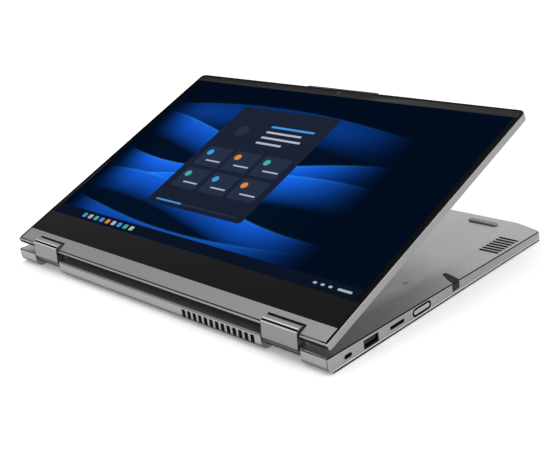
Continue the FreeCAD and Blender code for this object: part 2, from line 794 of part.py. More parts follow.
def bottom_cover():
    inset = (f"-({HALF} - cover_inset)", f"{HALF} - cover_inset")
    depth = (f"{REAR} + cover_inset", f"{FRONT} - cover_inset")
    tall = ("0", "plateau_rear + cut_margin")
    trim = plate("CoverTrim", inset, depth, tall, "front_corner", lambda middle: middle.y > 0)
    slab = common("CoverSlab", cover_form("CoverForm", "0", "0"), trim)
    rim = (f"-({HALF} - cover_rim)", f"{HALF} - cover_rim")
    rim_depth = (f"{REAR} + cover_rim", f"{FRONT} - cover_rim")
    inner = common("CoverInner", cover_form("CoverHollow", "cover_wall", "cover_rim"),
                   box("CoverInnerTrim", rim, rim_depth, tall))
    shell = cut("CoverShell", slab, [inner])
    tools = [notch(f"CoverNotch{sign + 1}", sign, "0", "notch_depth") for sign in (-1, 1)]
    sky = ("0", "plateau_rear + cut_margin")
    for sign in (-1, 1):
        for index in range(SIZES["grille_count"]):
            tools.append(grille_slot(f"Grille{sign + 1}Slot{index}", sign, index))
    for index in range(SIZES["intake_count"]):
        y = around(place(f"intake_first + {index} * intake_pitch"), "intake_slot")
        tools.append(box(f"Intake{index}", around(FAN_X, "intake_length"), y, sky))
    for index, (x, distance) in enumerate(screw_places()):
        seat = f"{plateau(distance)} - screw_recess - screw_head_height"
        head = rod(f"ScrewSeat{index}", "z", (x, place(distance), seat), "screw_head_radius", "cut_margin")
        hole = rod(f"ScrewHole{index}", "z", (x, place(distance), "0"), "screw_shank_radius", seat)
        tools.append(fuse(f"ScrewBore{index}", [head, hole]))
    tools.append(scoop("ScoopHole", sky))
    return node(cut("BottomCover", shell, tools), "bottom_cover")


# Pieces in the base
def keyboard_tray():
    """The plate under the keys, with a rim that seats on the deck and two screw posts."""
    width = f"({ROW_UNITS} * key_unit / 2 + tray_margin)"
    y = (f"{place('keyboard_back')} - tray_margin", f"{place(BOTTOM_BACK)} + {FULL_DEPTH} + tray_margin")
    blank = box("TrayBlank", (f"-{width}", width), y, ("deck_thickness", TRAY_BOTTOM))
    rim = "(tray_margin - key_clearance - fit_gap)"
    inner_x = (f"-{width} + {rim}", f"{width} - {rim}")
    inner_y = (f"{y[0]} + {rim}", f"{y[1]} - {rim}")
    well = box("TrayWell", inner_x, inner_y, ("0", TRAY_TOP))
    tray = cut("TrayPlate", blank, [well])
    posts = []
    for index, x in enumerate(("-screw_side_x", "screw_side_x")):
        top = f"{plateau('screw_side_place')} - cover_wall - fit_gap"
        foot = (x, place("screw_side_place"), TRAY_TOP)
        post = rod(f"TrayPost{index}", "z", foot, "boss_radius", f"{top} - {TRAY_TOP}")
        low_end = f"{plateau('screw_side_place')} - screw_recess - screw_head_height - screw_shank_length"
        deep = (x, foot[1], low_end)
        bore = rod(f"TrayBore{index}", "z", deep, "screw_shank_radius", "screw_shank_length")
        posts.append(cut(f"BoredPost{index}", post, [bore]))
    return node(fuse("KeyboardTray", [tray] + posts), "keyboard_tray")


def touchpad():
    x = around("0", "pad_width")
    y = (place("pad_back"), place("pad_back + pad_depth"))
    node(box("Touchpad", x, y, ("pad_recess", "pad_recess + pad_thickness")), "touchpad")
    floor = "(pad_recess + pad_thickness + pad_travel + fit_gap)"
    wide = around("0", "pad_width + 2 * tray_margin")
    long = (f"{y[0]} - tray_margin", f"{y[1]} + tray_margin")
    blank = box("PadBracketBlank", wide, long, ("deck_thickness", f"{floor} + pad_bracket"))
    well_x = around("0", "pad_width + 2 * pad_clearance")
    well_y = (f"{y[0]} - pad_clearance", f"{y[1]} + pad_clearance")
    node(cut("PadBracket", blank, [box("PadWell", well_x, well_y, ("0", floor))]), "touchpad_bracket")
    return f"({floor} + pad_bracket)"


def screws():
    items = []
    for index, (x, distance) in enumerate(screw_places()):
        seat = f"{plateau(distance)} - screw_recess - screw_head_height"
        under = (x, place(distance), seat)
        head = rod(f"ScrewHead{index}", "z", under, "screw_head_radius", "screw_head_height")
        tip = (x, place(distance), f"{seat} - screw_shank_length")
        shank = rod(f"ScrewShank{index}", "z", tip, "screw_shank_radius", "screw_shank_length")
        items.append(fuse(f"Screw{index}", [head, shank]))
    return node(group("CoverScrews", items), "cover_screws")


def feet():
    pads = []
    for sign in (-1, 1):
        x = around("front_foot_x", "front_foot_length")
        y = around(place("front_foot_place"), "front_foot_width")
        top = plateau("front_foot_place")
        pads.append((f"FrontFoot{sign + 1}", x if sign > 0 else mirrored(x), y, top))
    rear_y = around(place("rear_foot_place"), "rear_foot_width")
    pads.append(("RearFoot", around("0", "rear_foot_length"), rear_y, plateau("rear_foot_place")))
    made = []
    for name, x, y, top in pads:
        bar = pad_pill(name + "Bar", x, y, (f"{top} - foot_sink", f"{top} + foot_height"))
        made.append(cut(name, bar, [cover_form(name + "Seat", "0", "0")]))
    node(group("FrontFeet", made[:2]), "front_feet")
    node(made[2], "rear_foot")


def ports():
    """Connectors behind the side walls, each seated on its small board."""
    low = "(deck_thickness + side_board_thickness)"
    wall = INSIDE
    for sign, label in ((-1, "side_board_left"), (1, "side_board_right")):
        x = (f"{wall} - side_board_width", wall)
        y = (place("side_board_back"), place("side_board_back + side_board_depth"))
        board = box(f"SideBoard{sign + 1}", x if sign > 0 else mirrored(x), y, ("deck_thickness", low))
        node(board, label)

    def shell(name, label, middle, width, height, length, sign):
        x = (f"{wall} - {length}", wall)
        y = around(place(middle), f"{width} + 2 * shell_wall")
        z = (low, f"port_height + {height} / 2 + shell_wall")
        outer = box(name + "Shell", x if sign > 0 else mirrored(x), y, z)
        mouth_x = (f"{wall} - {length} + shell_wall", f"{wall} + cut_margin")
        mouth = box(name + "Mouth", mouth_x if sign > 0 else mirrored(mouth_x),
                    around(place(middle), width), around("port_height", height))
        hollow = cut(name + "Hollow", outer, [mouth])
        tongue_x = (f"{wall} - {length} + shell_wall", f"{wall} - shell_wall")
        tongue_y = around(place(middle), f"{width} - 4 * shell_wall")
        tongue = box(name + "Tongue", tongue_x if sign > 0 else mirrored(tongue_x), tongue_y,
                     around("port_height", "port_tongue"))
        return node(fuse(name, [hollow, tongue]), label)

    shell("UsbPort", "usb_a_port", "usb_place", "usb_width", "usb_height", "usb_length", 1)
    shell("HdmiPort", "hdmi_port", "hdmi_place", "hdmi_width", "hdmi_height", "hdmi_length", -1)
    reader_x = (f"{wall} - card_length", wall)
    reader_y = around(place("card_place"), "card_width + 4 * shell_wall")
    reader = box("CardShell", reader_x, reader_y, (low, "port_height + card_slot / 2 + shell_wall"))
    slot_x = (f"{wall} - card_length + shell_wall", f"{wall} + cut_margin")
    slot_y = around(place("card_place"), "card_width")
    slot = box("CardSlot", slot_x, slot_y, around("port_height", "card_slot"))
    node(cut("CardReader", reader, [slot]), "card_reader")
    plate_y = around(place("lock_place"), "lock_width + 2 * lock_margin")
    plate_z = (low, "port_height + lock_height / 2 + lock_margin")
    steel = box("LockBlank", (f"{wall} - lock_plate", wall), plate_y, plate_z)
    hole_y = around(place("lock_place"), "lock_width")
    hole = side_pill("LockSlot", hole_y, around("port_height", "lock_height"),
                     (f"{wall} - lock_plate - cut_margin", f"{wall} + cut_margin"))
    node(cut("LockPlate", steel, [hole]), "lock_slot_plate")
    sockets = []
    for index in range(2):
        middle = f"usbc_place + {index} * usbc_pitch"
        x = (f"{wall} - usbc_length", wall)
        outer = box(f"Usbc{index}Shell", mirrored(x), around(place(middle), "usbc_width + 2 * shell_wall"),
                    (low, "port_height + usbc_height / 2 + shell_wall"))
        mouth_x = (f"{wall} - usbc_length + shell_wall", f"{wall} + cut_margin")
        mouth = side_pill(f"Usbc{index}Mouth", around(place(middle), "usbc_width"),
                          around("port_height", "usbc_height"), mirrored(mouth_x))
        hollow = cut(f"Usbc{index}Hollow", outer, [mouth])
        tongue_x = (f"{wall} - usbc_length + shell_wall / 2", f"{wall} - shell_wall")
        tongue_y = around(place(middle), "usbc_tongue")
        tongue = box(f"Usbc{index}Tongue", mirrored(tongue_x), tongue_y, around("port_height", "shell_wall"))
        sockets.append(fuse(f"Usbc{index}", [hollow, tongue]))
    node(group("UsbcPorts", sockets), "usb_c_ports")
    jack_x = mirrored((f"{wall} - jack_length", wall))
    jack = box("JackBlock", jack_x, around(place("jack_place"), "jack_width"),
               (low, "port_height + jack_radius + 2 * shell_wall"))
    bore = rod("JackBore", "x", (f"-({wall} + cut_margin)", place("jack_place"), "port_height"),
               "jack_radius", "jack_length + cut_margin - shell_wall")
    node(cut("AudioJack", jack, [bore]), "audio_jack")
    lamp = (f"{HALF} - case_wall - shell_wall", place("led_place"), "port_height")
    node(rod("StatusLed", "x", lamp, "led_radius", "case_wall + shell_wall"), "status_led")
    button = side_pill("PowerButton", around(place("power_place"), "power_length"),
                       around("port_height", "power_height"),
                       (f"{HALF} - power_sink - power_depth", f"{HALF} - power_sink"))
    node(button, "power_button")


def stylus():
    """The stylus, its tail block, nib and side button, and the garage that it slides into."""
    y = place("pen_place")
    barrel = rod("PenBarrel", "x", (PEN_START, y, "pen_height"), "pen_radius", "pen_length")
    button_x = around(f"({PEN_START} + pen_length - pen_button_place)", "pen_button_length")
    top = "(pen_height + pen_radius)"
    pocket_z = (f"{top} - pen_button_depth - pen_button_proud - pen_slack", f"{top} + cut_margin")
    grown = (f"{button_x[0]} - fit_gap", f"{button_x[1]} + fit_gap")
    pocket = box("PenPocket", grown, around(y, "pen_button_width + 2 * fit_gap"), pocket_z)
    node(cut("StylusBody", barrel, [pocket]), "stylus_body")
    button_z = (f"{top} + pen_button_proud - pen_button_depth", f"{top} + pen_button_proud")
    node(box("StylusButton", button_x, around(y, "pen_button_width"), button_z), "stylus_button")
    nib = doc.addObject("Part::Cone", "StylusNib")
    nib.Placement = FreeCAD.Placement(Vector(), Rotation(Vector(0, 1, 0), -90))
    bind(nib, "Radius1", "pen_radius")
    bind(nib, "Radius2", "pen_nib_tip")
    bind(nib, "Height", "pen_nib_length")
    for axis, low in zip("xyz", (PEN_START, y, "pen_height")):
        bind(nib, f"Placement.Base.{axis}", low)
    node(nib, "stylus_nib")
    tail_x = (f"{PEN_TAIL_END} - pen_tail_length", PEN_TAIL_END)
    tail = box("StylusTail", tail_x, around(y, "pen_tail_width"), ("pen_tail_low", "pen_tail_high"))
    node(tail, "stylus_tail")
    back = f"({PEN_START} - pen_nib_length - garage_wall)"
    mouth = f"({HALF} - scoop_reach + garage_overlap)"
    half_channel = f"({CHANNEL} + garage_wall)"
    walls_z = (f"pen_height - {half_channel}", f"pen_height + {half_channel}")
    outer = box("GarageOuter", (f"{back} - garage_wall", mouth), around(y, f"2 * {half_channel}"), walls_z)
    bore_x = (back, f"{mouth} + cut_margin")
    bore = box("GarageBore", bore_x, around(y, f"2 * {CHANNEL}"), around("pen_height", f"2 * {CHANNEL}"))
    tail_y = around(y, "pen_tail_width + 2 * pen_tail_gap")
    tail_z = ("pen_tail_low - pen_tail_gap", "pen_tail_high + pen_tail_gap")
    tail_way = box("GarageTailWay", (f"{tail_x[0]} - pen_tail_gap", f"{HALF} + cut_margin"), tail_y, tail_z)
    tall = ("0", "plateau_rear + cut_margin")
    ceiling = common("GarageCeiling", cover_form("GarageForm", "0", "0"), scoop("GarageScoop", tall))
    outside = (f"{HALF} - cover_inset", f"{HALF} + 2 * cut_margin")
    flush = box("GarageFlush", outside, around(y, "4 * scoop_belly"), tall)
    lid_block = cut("GarageMouth", ceiling, [flush])
    body = fuse("GarageBody", [outer, lid_block])
    node(cut("StylusGarage", body, [fuse("GarageWay", [bore, tail_way])]), "stylus_garage")


def cooling():
    """Fan, fins behind the vents, and the heat pipe from the processor."""
    x = around(FAN_X, "fan_size")
    y = (place(FAN_BACK), place(f"{FAN_BACK} + fan_size"))
    middle = (FAN_X, place(f"{FAN_BACK} + fan_size / 2"))
    blank = box("FanBlank", x, y, (TRAY_BOTTOM, "fan_top"))
    floor = f"({TRAY_BOTTOM} + fan_wall)"
    room = rod("FanRoom", "z", (*middle, floor), "rotor_radius + 2 * rotor_gap", "fan_top")
    outlet_x = around(FAN_X, "fan_size - 4 * fan_wall")
    outlet = box("FanOutlet", outlet_x, (f"{y[0]} - cut_margin", middle[1]), (floor, "fan_top - fan_wall"))
    inlet = cut("FanHollow", blank, [fuse("FanSpace", [room, outlet])])
    pin_length = f"fan_top - rotor_gap - {TRAY_BOTTOM}"
    pin = rod("FanPin", "z", (*middle, TRAY_BOTTOM), "fan_pin_radius", pin_length)
    node(fuse("FanHousing", [inlet, pin]), "fan_housing")
    low = f"({floor} + rotor_gap / 2)"
    rise = f"(fan_top - 2 * rotor_gap - {low})"
    hub = rod("RotorHub", "z", (*middle, low), "rotor_hub_radius", rise)
    blades = [hub]
    for index in range(SIZES["blade_count"]):
        blade = box(f"Blade{index}", ("rotor_hub_radius - rotor_blade", "rotor_radius"),
                    around("0", "rotor_blade"), ("0", rise))
        turned = group(f"TurnedBlade{index}", [blade])
        turned.Placement = FreeCAD.Placement(Vector(), Rotation(Vector(0, 0, 1), 1))
        bind(turned, "Placement.Base.x", middle[0])
        bind(turned, "Placement.Base.y", middle[1])
        bind(turned, "Placement.Base.z", low)
        bind(turned, "Placement.Rotation.Angle", f"{index} * 360 / blade_count + 1")
        blades.append(turned)
    bore = rod("RotorBore", "z", (*middle, "0"), "fan_pin_radius + shaft_clearance", "fan_top + cut_margin")
    node(cut("FanRotor", fuse("RotorBlank", blades), [bore]), "fan_rotor")
    fin_y = (place("case_wall + fit_gap"), place(FAN_BACK))
    fin_x = ("vent_first", "vent_last")
    fins = [box("FinPlate", fin_x, fin_y, ("fin_top - fin_plate", "fin_top"))]
    step = "((vent_last - vent_first - fin_thickness) / (fin_count - 1))"
    for index in range(SIZES["fin_count"]):
        start = f"vent_first + {index} * {step}"
        one = (start, f"{start} + fin_thickness")
        fins.append(box(f"Fin{index}", one, fin_y, ("rear_ledge_height", "fin_top")))
    node(fuse("HeatSinkFins", fins), "heat_sink_fins")
    chip_x = around("chip_x", "chip_size")
    chip_y = around(place("chip_place"), "chip_size")
    chip_top = f"({BOARD_TOP} + chip_thickness)"
    node(box("Processor", chip_x, chip_y, (BOARD_TOP, chip_top)), "processor")
    pipe_z = ("fin_top", "fin_top + pipe_thickness")
    cold = box("ColdPlate", chip_x, chip_y, (chip_top, "fin_top"))
    pipe_y = around(place("(case_wall + notch_depth) / 2"), "pipe_width")
    run_x = around("chip_x", "pipe_width")
    down = box("PipeDown", run_x, (pipe_y[0], chip_y[1]), pipe_z)
    across = box("PipeAcross", (run_x[0], "vent_last"), pipe_y, pipe_z)
    node(fuse("HeatPipe", [cold, down, across]), "heat_pipe")


def boards():
    board_x = ("board_left", "board_right")
    board_y = (place("board_back"), place("board_back + board_depth"))
    node(box("MainBoard", board_x, board_y, (TRAY_BOTTOM, BOARD_TOP)), "main_board")
    above = (BOARD_TOP, f"{BOARD_TOP} + card_board_thickness")
    far = place("board_back + board_depth")
    storage_y = (f"{far} - storage_width - tray_margin", f"{far} - tray_margin")
    storage_x = ("board_left + tray_margin", "board_left + tray_margin + storage_size")
    node(box("StorageCard", storage_x, storage_y, above), "storage_card")
    near = place("board_back + tray_margin")
    radio_x = ("board_left + tray_margin", "board_left + tray_margin + storage_width")
    node(box("WirelessCard", radio_x, (near, f"{near} + wireless_size"), above), "wireless_card")


def battery_and_speakers(seat):
    x = around("0", "battery_width")
    y = (place("battery_back"), place("battery_back + battery_depth"))
    node(box("BatteryPack", x, y, (seat, f"{seat} + battery_thickness")), "battery_pack")
    for sign, label in ((-1, "speaker_left"), (1, "speaker_right")):
        x = (f"{INSIDE} - speaker_side_gap - speaker_width", f"{INSIDE} - speaker_side_gap")
        y = (place("speaker_back"), place("speaker_back + speaker_depth"))
        z = ("deck_thickness", "deck_thickness + speaker_thickness")
        node(box(f"Speaker{sign + 1}", x if sign > 0 else mirrored(x), y, z), label)


# Hinges
def hinge(sign, side):
    """One side's cap, shafts and brackets."""
    name = side.title()
    facing = (lambda span: span) if sign > 0 else mirrored
    cap_x = facing(CAP)
    length = f"({cap_x[1]}) - ({cap_x[0]})"
    web = [
        ("-cap_flat", "cap_foot"),
        ("-cap_flat", "hinge_spacing"),
        ("cap_web", "hinge_spacing"),
        ("cap_base_radius", "0"),
        ("-cap_base_radius * sin(cap_chamfer_angle)", "-cap_base_radius * cos(cap_chamfer_angle)"),
    ]
    block = prism(f"Cap{name}Web", "YZ_Plane", web, cap_x)
    lid_end = rod(f"Cap{name}LidEnd", "x", (cap_x[0], "0", "hinge_spacing"), "cap_lid_radius", length)
    base_end = rod(f"Cap{name}BaseEnd", "x", (cap_x[0], "0", "0"), "cap_base_radius", length)
    solid = fuse(f"Cap{name}Solid", [block, lid_end, base_end])
    beyond = ("-cap_flat - cut_margin", "-cap_flat")
    flat = box(f"Cap{name}Flat", cap_x, beyond, ("-cut_margin", "hinge_spacing + 2 * cap_lid_radius"))
    groove_y = "-cap_lid_radius * cos(cap_groove_angle)"
    groove_z = "hinge_spacing + cap_lid_radius * sin(cap_groove_angle)"
    groove = rod(f"Cap{name}Groove", "x", (cap_x[0], groove_y, groove_z), "cap_groove / 2", length)
    bores = []
    ends = (("Base", "0", "base_shaft_radius"), ("Lid", "hinge_spacing", "lid_shaft_radius"))
    for place_name, height, radius in ends:
        span = ("notch_outer - cap_gap - shaft_engagement", "notch_outer")
        start = facing(span)[0]
        bores.append(rod(f"Cap{name}{place_name}Bore", "x", (start, "0", height),
                         f"{radius} + shaft_clearance", f"{span[1]} - ({span[0]})"))
    node(on_link(cut(f"HingeCap{name}", solid, [flat, groove] + bores)), f"hinge_cap_{side}")

    inner_end = "notch_outer - cap_gap - shaft_engagement + shaft_clearance"
    outer_end = "notch_outer + notch_wall + fit_gap + bracket_length"
    reach = f"{outer_end} - ({inner_end})"
    start = facing((inner_end, outer_end))[0]
    node(rod(f"BaseShaft{name}", "x", (start, AXIS_Y, "hinge_height"), "base_shaft_radius", reach),
         f"hinge_base_shaft_{side}")
    bracket_x = facing(("notch_outer + notch_wall + fit_gap", outer_end))
    barrel = rod(f"BaseBarrel{name}", "x", (bracket_x[0], AXIS_Y, "hinge_height"),
                 "base_barrel_radius", "bracket_length")
    ledge = ("rear_ledge_height", "rear_ledge_height + bracket_leaf")
    leaf = box(f"BaseLeaf{name}", bracket_x, (AXIS_Y, f"{AXIS_Y} + base_leaf_reach"), ledge)
    web_z = ("rear_ledge_height", "hinge_height")
    riser = box(f"BaseRiser{name}", bracket_x, (AXIS_Y, f"{AXIS_Y} + base_barrel_radius"), web_z)
    way_start = (bracket_x[0], AXIS_Y, "hinge_height")
    way = rod(f"BaseWay{name}", "x", way_start, "base_shaft_radius", "bracket_length")
    solid = fuse(f"BaseBracketSolid{name}", [barrel, leaf, riser])
    node(cut(f"BaseBracket{name}", solid, [way]), f"hinge_base_bracket_{side}")

    depth = "-lid_axis_depth"
    shaft = rod(f"LidShaft{name}", "x", (start, "lid_axis_up", depth), "lid_shaft_radius", reach)
    node(on_lid(group(f"LidShaftPlaced{name}", [shaft])), f"hinge_lid_shaft_{side}")
    lid_barrel = rod(f"LidBarrel{name}", "x", (bracket_x[0], "lid_axis_up", depth),
                     "lid_barrel_radius", "bracket_length")
    leaf_z = (LID_FLOOR, f"{LID_FLOOR} + bracket_leaf")
    lid_leaf = box(f"LidLeaf{name}", bracket_x, ("lid_axis_up", "lid_axis_up + lid_leaf_reach"), leaf_z)
    lid_start = (bracket_x[0], "lid_axis_up", depth)
    lid_way = rod(f"LidWay{name}", "x", lid_start, "lid_shaft_radius", "bracket_length")
    lid_solid = fuse(f"LidBracketSolid{name}", [lid_barrel, lid_leaf])
    node(on_lid(cut(f"LidBracket{name}", lid_solid, [lid_way])), f"hinge_lid_bracket_{side}")


# Lid
def lid_notch(name, sign, grow, z):
    """The gap in the lid's lower edge where a hinge cap turns."""
    x = (f"notch_inner + lid_notch_margin - {grow}", f"notch_outer - lid_notch_margin + {grow}")
    y = ("-lid_lip - cut_margin", f"lid_notch_depth + {grow}")
    return box(name, x if sign > 0 else mirrored(x), y, z)


def lid_cover():
    through = ("-lid_thickness - cut_margin", "cut_margin")
    half = (f"-{HALF}", HALF)
    top_only = value("lid_height / 2")
    slab_z = ("-lid_thickness", "-lid_rim_depth")
    slab = plate("LidSlab", half, ("-lid_lip", "lid_height"), slab_z, "lid_corner",
                 lambda middle: middle.y > top_only)
    lip_y = value("-lid_lip")
    back_z = value("-lid_thickness")
    near = value("lid_lip_wall / 4")

    def lower_back(middle, along):
        return abs(middle.y - lip_y) < near and abs(along.x) > 0.9 and abs(middle.z - back_z) < near

    round_edges(slab, "lid_edge_round", lower_back)
    inside = (f"-{LID_SIDE}", LID_SIDE)
    ledge = box("LidLedge", inside, ("-lid_lip - cut_margin", "0"), ("-rail_thickness", "cut_margin"))
    hollow_y = ("lid_lip_wall - lid_lip", "lid_height - lid_wall")
    room = box("LidRoom", inside, hollow_y, (LID_FLOOR, "cut_margin"))
    low = (through[0], "-rail_thickness")
    blocks = [lid_notch(f"LidNotchBlock{sign + 1}", sign, "lid_wall", low) for sign in (-1, 1)]
    hollow = cut("LidHollow", room, blocks)
    tray = cut("LidTray", cut("LidStep", slab, [ledge]), [hollow])
    tools = [lid_notch(f"LidNotch{sign + 1}", sign, "0", through) for sign in (-1, 1)]
    for sign in (-1, 1):
        x = ("notch_outer - cut_margin", "notch_outer + notch_wall")
        start = x[0] if sign > 0 else f"-({x[1]})"
        tools.append(rod(f"LidShaftHole{sign + 1}", "x", (start, "lid_axis_up", "-lid_axis_depth"),
                         "lid_shaft_radius", f"{x[1]} - ({x[0]})"))
    notched = cut("LidNotched", tray, tools)
    crown = [
        ("-tab_half_width - tab_slant", "lid_height - lid_wall / 2"),
        ("tab_half_width + tab_slant", "lid_height - lid_wall / 2"),
        ("tab_half_width", "lid_height + tab_height"),
        ("-tab_half_width", "lid_height + tab_height"),
    ]
    tab = prism("LidTab", "XY_Plane", crown, ("-lid_rim_depth - tab_depth", "-lid_rim_depth"))
    groove_z = around("(-lid_rim_depth - tab_depth / 2)", "shutter_thickness + 2 * shutter_gap")
    groove_x = ("-shutter_length - shutter_gap", "shutter_travel + shutter_gap")
    groove_y = ("lid_height + shutter_gap", "lid_height + cut_margin")
    groove = box("ShutterGroove", groove_x, groove_y, groove_z)
    whole = fuse("LidWhole", [notched, cut("GroovedTab", tab, [groove])])
    node(on_lid(whole), "lid_cover")


def display():
    glass_y = ("rail_height + rail_seam", GLASS_TOP)
    glass_z = ("-glass_thickness", "0")
    glass_x = (f"-{GLASS_SIDE}", GLASS_SIDE)
    upper = value("lid_height / 2")
    glass = plate("Glass", glass_x, glass_y, glass_z, "glass_corner", lambda middle: middle.y > upper)
    placed = group("DisplayGlass", [glass])
    node(on_lid(placed), "display_glass")
    panel_x = (f"-({GLASS_SIDE} - panel_margin)", f"{GLASS_SIDE} - panel_margin")
    panel_z = ("-glass_thickness - panel_thickness", "-glass_thickness")
    panel = box("Panel", panel_x, ("panel_low", "panel_high"), panel_z)
    node(on_lid(group("DisplayPanel", [panel])), "display_panel")
    ring_z = ("-glass_thickness", "gasket_proud")
    ring_y = ("0", "lid_height - lid_wall")
    ring = plate("GasketBlank", (f"-{LID_SIDE}", LID_SIDE), ring_y, ring_z, "lid_corner - lid_wall",
                 lambda middle: middle.y > upper)
    gap_z = ("-glass_thickness - cut_margin", "cut_margin")
    gap = plate("GasketGap", glass_x, ("-cut_margin", GLASS_TOP), gap_z, "glass_corner",
                lambda middle: middle.y > upper)
    node(on_lid(cut("DisplayGasket", ring, [gap])), "display_gasket")
    camera_y = ("panel_high + fit_gap", "panel_high + fit_gap + camera_height")
    camera_z = ("-glass_thickness - camera_depth", "-glass_thickness")
    camera = box("Camera", around("0", "camera_width"), camera_y, camera_z)
    node(on_lid(group("CameraModule", [camera])), "camera_module")
    slide_z = around("(-lid_rim_depth - tab_depth / 2)", "shutter_thickness")
    slide_y = ("lid_height + 2 * shutter_gap", "lid_height + tab_height")
    shutter = box("Shutter", ("-shutter_length", "0"), slide_y, slide_z)
    node(on_lid(group("CameraShutter", [shutter])), "camera_shutter")


def hinge_rail():
    """The metal bar under the glass, notched for the hinge caps, with a rib down to the cover."""
    face_x = (f"-{GLASS_SIDE}", GLASS_SIDE)
    face = box("RailFace", face_x, ("0", "rail_height"), ("-rail_thickness", "0"))
    rib_y = ("rail_height - rail_rib", "rail_height - fit_gap")
    rib = box("RailRib", face_x, rib_y, (LID_FLOOR, "-rail_thickness / 2"))
    bar = fuse("RailBar", [face, rib])
    through = ("-lid_thickness", "cut_margin")
    notches = [lid_notch(f"RailNotch{sign + 1}", sign, "0", through) for sign in (-1, 1)]
    node(on_lid(cut("HingeRail", bar, notches)), "hinge_rail")


def check_and_write():
    """Every object is sound before any file is written."""
    doc.recompute()
    failed = [item.Name for item in doc.Objects if "Invalid" in item.State or "Error" in item.State]
    if failed:
        raise RuntimeError(f"failed objects: {failed}")
    for item in nodes:
        if item.Shape.isNull() or not item.Shape.isValid() or not item.Shape.Solids:
            raise RuntimeError(f"bad shape: {item.Label}")
    os.makedirs("parts", exist_ok=True)
    for item in nodes:
        item.Shape.exportStep(f"parts/{item.Label}.step")


deck_frame(key_rows())
bottom_cover()
keyboard_tray()
bracket_top = touchpad()
screws()
feet()
ports()
stylus()
cooling()
boards()
battery_and_speakers(bracket_top)
for turn, end in ((-1, "left"), (1, "right")):
    hinge(turn, end)
lid_cover()
display()
hinge_rail()
check_and_write()
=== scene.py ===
import json
from math import cos, pi, radians, sin

import bmesh
import bpy
from mathutils import Matrix, Vector


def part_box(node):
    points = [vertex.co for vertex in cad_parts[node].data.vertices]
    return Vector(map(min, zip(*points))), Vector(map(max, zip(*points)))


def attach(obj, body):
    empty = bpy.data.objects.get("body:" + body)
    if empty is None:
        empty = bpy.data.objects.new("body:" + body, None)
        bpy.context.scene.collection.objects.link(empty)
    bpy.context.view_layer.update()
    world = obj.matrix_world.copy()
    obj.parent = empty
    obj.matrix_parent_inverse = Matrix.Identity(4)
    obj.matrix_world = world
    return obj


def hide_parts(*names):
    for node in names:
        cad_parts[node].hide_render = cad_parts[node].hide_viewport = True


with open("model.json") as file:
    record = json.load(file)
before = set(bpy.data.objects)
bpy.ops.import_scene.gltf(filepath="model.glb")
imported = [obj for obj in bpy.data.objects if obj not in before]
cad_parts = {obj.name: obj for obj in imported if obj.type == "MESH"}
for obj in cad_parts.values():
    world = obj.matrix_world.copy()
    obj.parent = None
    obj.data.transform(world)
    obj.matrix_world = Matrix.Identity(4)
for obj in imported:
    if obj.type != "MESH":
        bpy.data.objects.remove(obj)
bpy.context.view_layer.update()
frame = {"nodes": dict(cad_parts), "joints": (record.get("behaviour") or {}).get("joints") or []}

bl_info = {
    "name": "Folding Laptop Dresser",
    "version": (1, 0, 0),
    "blender": (4, 5, 0),
    "location": "View3D > Sidebar > Laptop",
    "description": "Dresses the packed folding laptop with its finishes, keys, screen and studio",
    "category": "Object",
}

CASE_LOW, CASE_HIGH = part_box("deck_frame")
MM = 0.001

# Reach of tests and of mesh work: the same place, corners to merge, a cut's reach, the shortest edge to round
HAIR = 0.01 * MM
MERGE = 0.002 * MM
CUT_REACH = 0.001 * MM
LONG_EDGE = 3 * MM
FLAT_ANGLE = radians(0.5)
SHARP_ANGLE = radians(40)
CREASE_ANGLE = radians(35)
# How much of a direction lies along an axis, from all of it to hardly any
LEVEL = 0.999
ALONG = 0.99
FACING = 0.9
SIDEWAYS = 0.7
HALFWAY = 0.5
LEANING = 0.02
ACROSS = 0.01

# The lid: its tilt, and from its hinge axis to the rail's lower edge and out to the glass
LID_TILT = radians(20.3)
AXIS_TO_RAIL = -1.5 * MM
AXIS_TO_GLASS = 2.6 * MM
# Its hinge notches, from and to along X and how high, then half the top tab's width and its foot, and how
# deep the tray's inside lies
LID_NOTCH = (106 * MM, 138.5 * MM)
LID_NOTCH_HEIGHT = 7.5 * MM
TAB_HALF = 36.6 * MM
TAB_FOOT = 214.22 * MM
TRAY_INSIDE = -1 * MM
# The dark strips of painted shade along the hinge: how far up the lid's outside, how deep it starts there and
# half its length, then how far over the bottom cover, half its length there, and how far in its holes start
STRIP_HEIGHT = 11 * MM
STRIP_START = -1.3 * MM
STRIP_HALF = 159.4 * MM
COVER_STRIP = 17.5 * MM
COVER_STRIP_HALF = 106.4 * MM
COVER_HOLES = 3 * MM
# Where along Y the cover's painted shade from the lid, darker towards the hinge, ends, from and to, and how
# dark it is, then how near its outline the edges to round lie
COVER_PAINTED_SHADE = (-10 * MM, 40 * MM, 0.76)
COVER_RIM = 1 * MM
# The cover's flanks: height of the outer edge and of the crest at the hinge, how much each falls, and width
EDGE_REAR, EDGE_FALL = 10.9 * MM, 4.2 * MM
CREST_REAR, CREST_FALL = 11.5 * MM, 1.9 * MM
FLANK_WIDTH = 17.5 * MM
# The tub's walls: top at the rear and at the front, and the front corners
WALL_TOP = 10.5 * MM
FRONT_TOP = 6.3 * MM
CASE_CORNER = 2.6 * MM
# The rear wall: its sloping foot and how much of that slope is left, the lip on top, the round foot
SLOPE_HEIGHT = 1.7 * MM
SLOPE_DEPTH = 10.5 * MM
SLOPE_LEFT = 0.4
SLOPE_REACH = 0.03 * MM
LIP_RISE = 1.0 * MM
LIP_HALF = 108 * MM
LIP_REACH = 0.1 * MM
FOOT_ROUND = 3.0 * MM
FOOT_STEPS = 6
# Painted shade on the rounded foot, darker as it turns under, from the steepness that each tone starts at,
# and how far in and up these tones reach
FOOT_SHADE_TONES = ((-0.05, 0.70), (-0.25, 0.48), (-0.45, 0.36), (-0.65, 0.28), (-0.8, 0.22))
FOOT_SHADE_DEPTH = 10.6 * MM
FOOT_SHADE_HEIGHT = 6 * MM
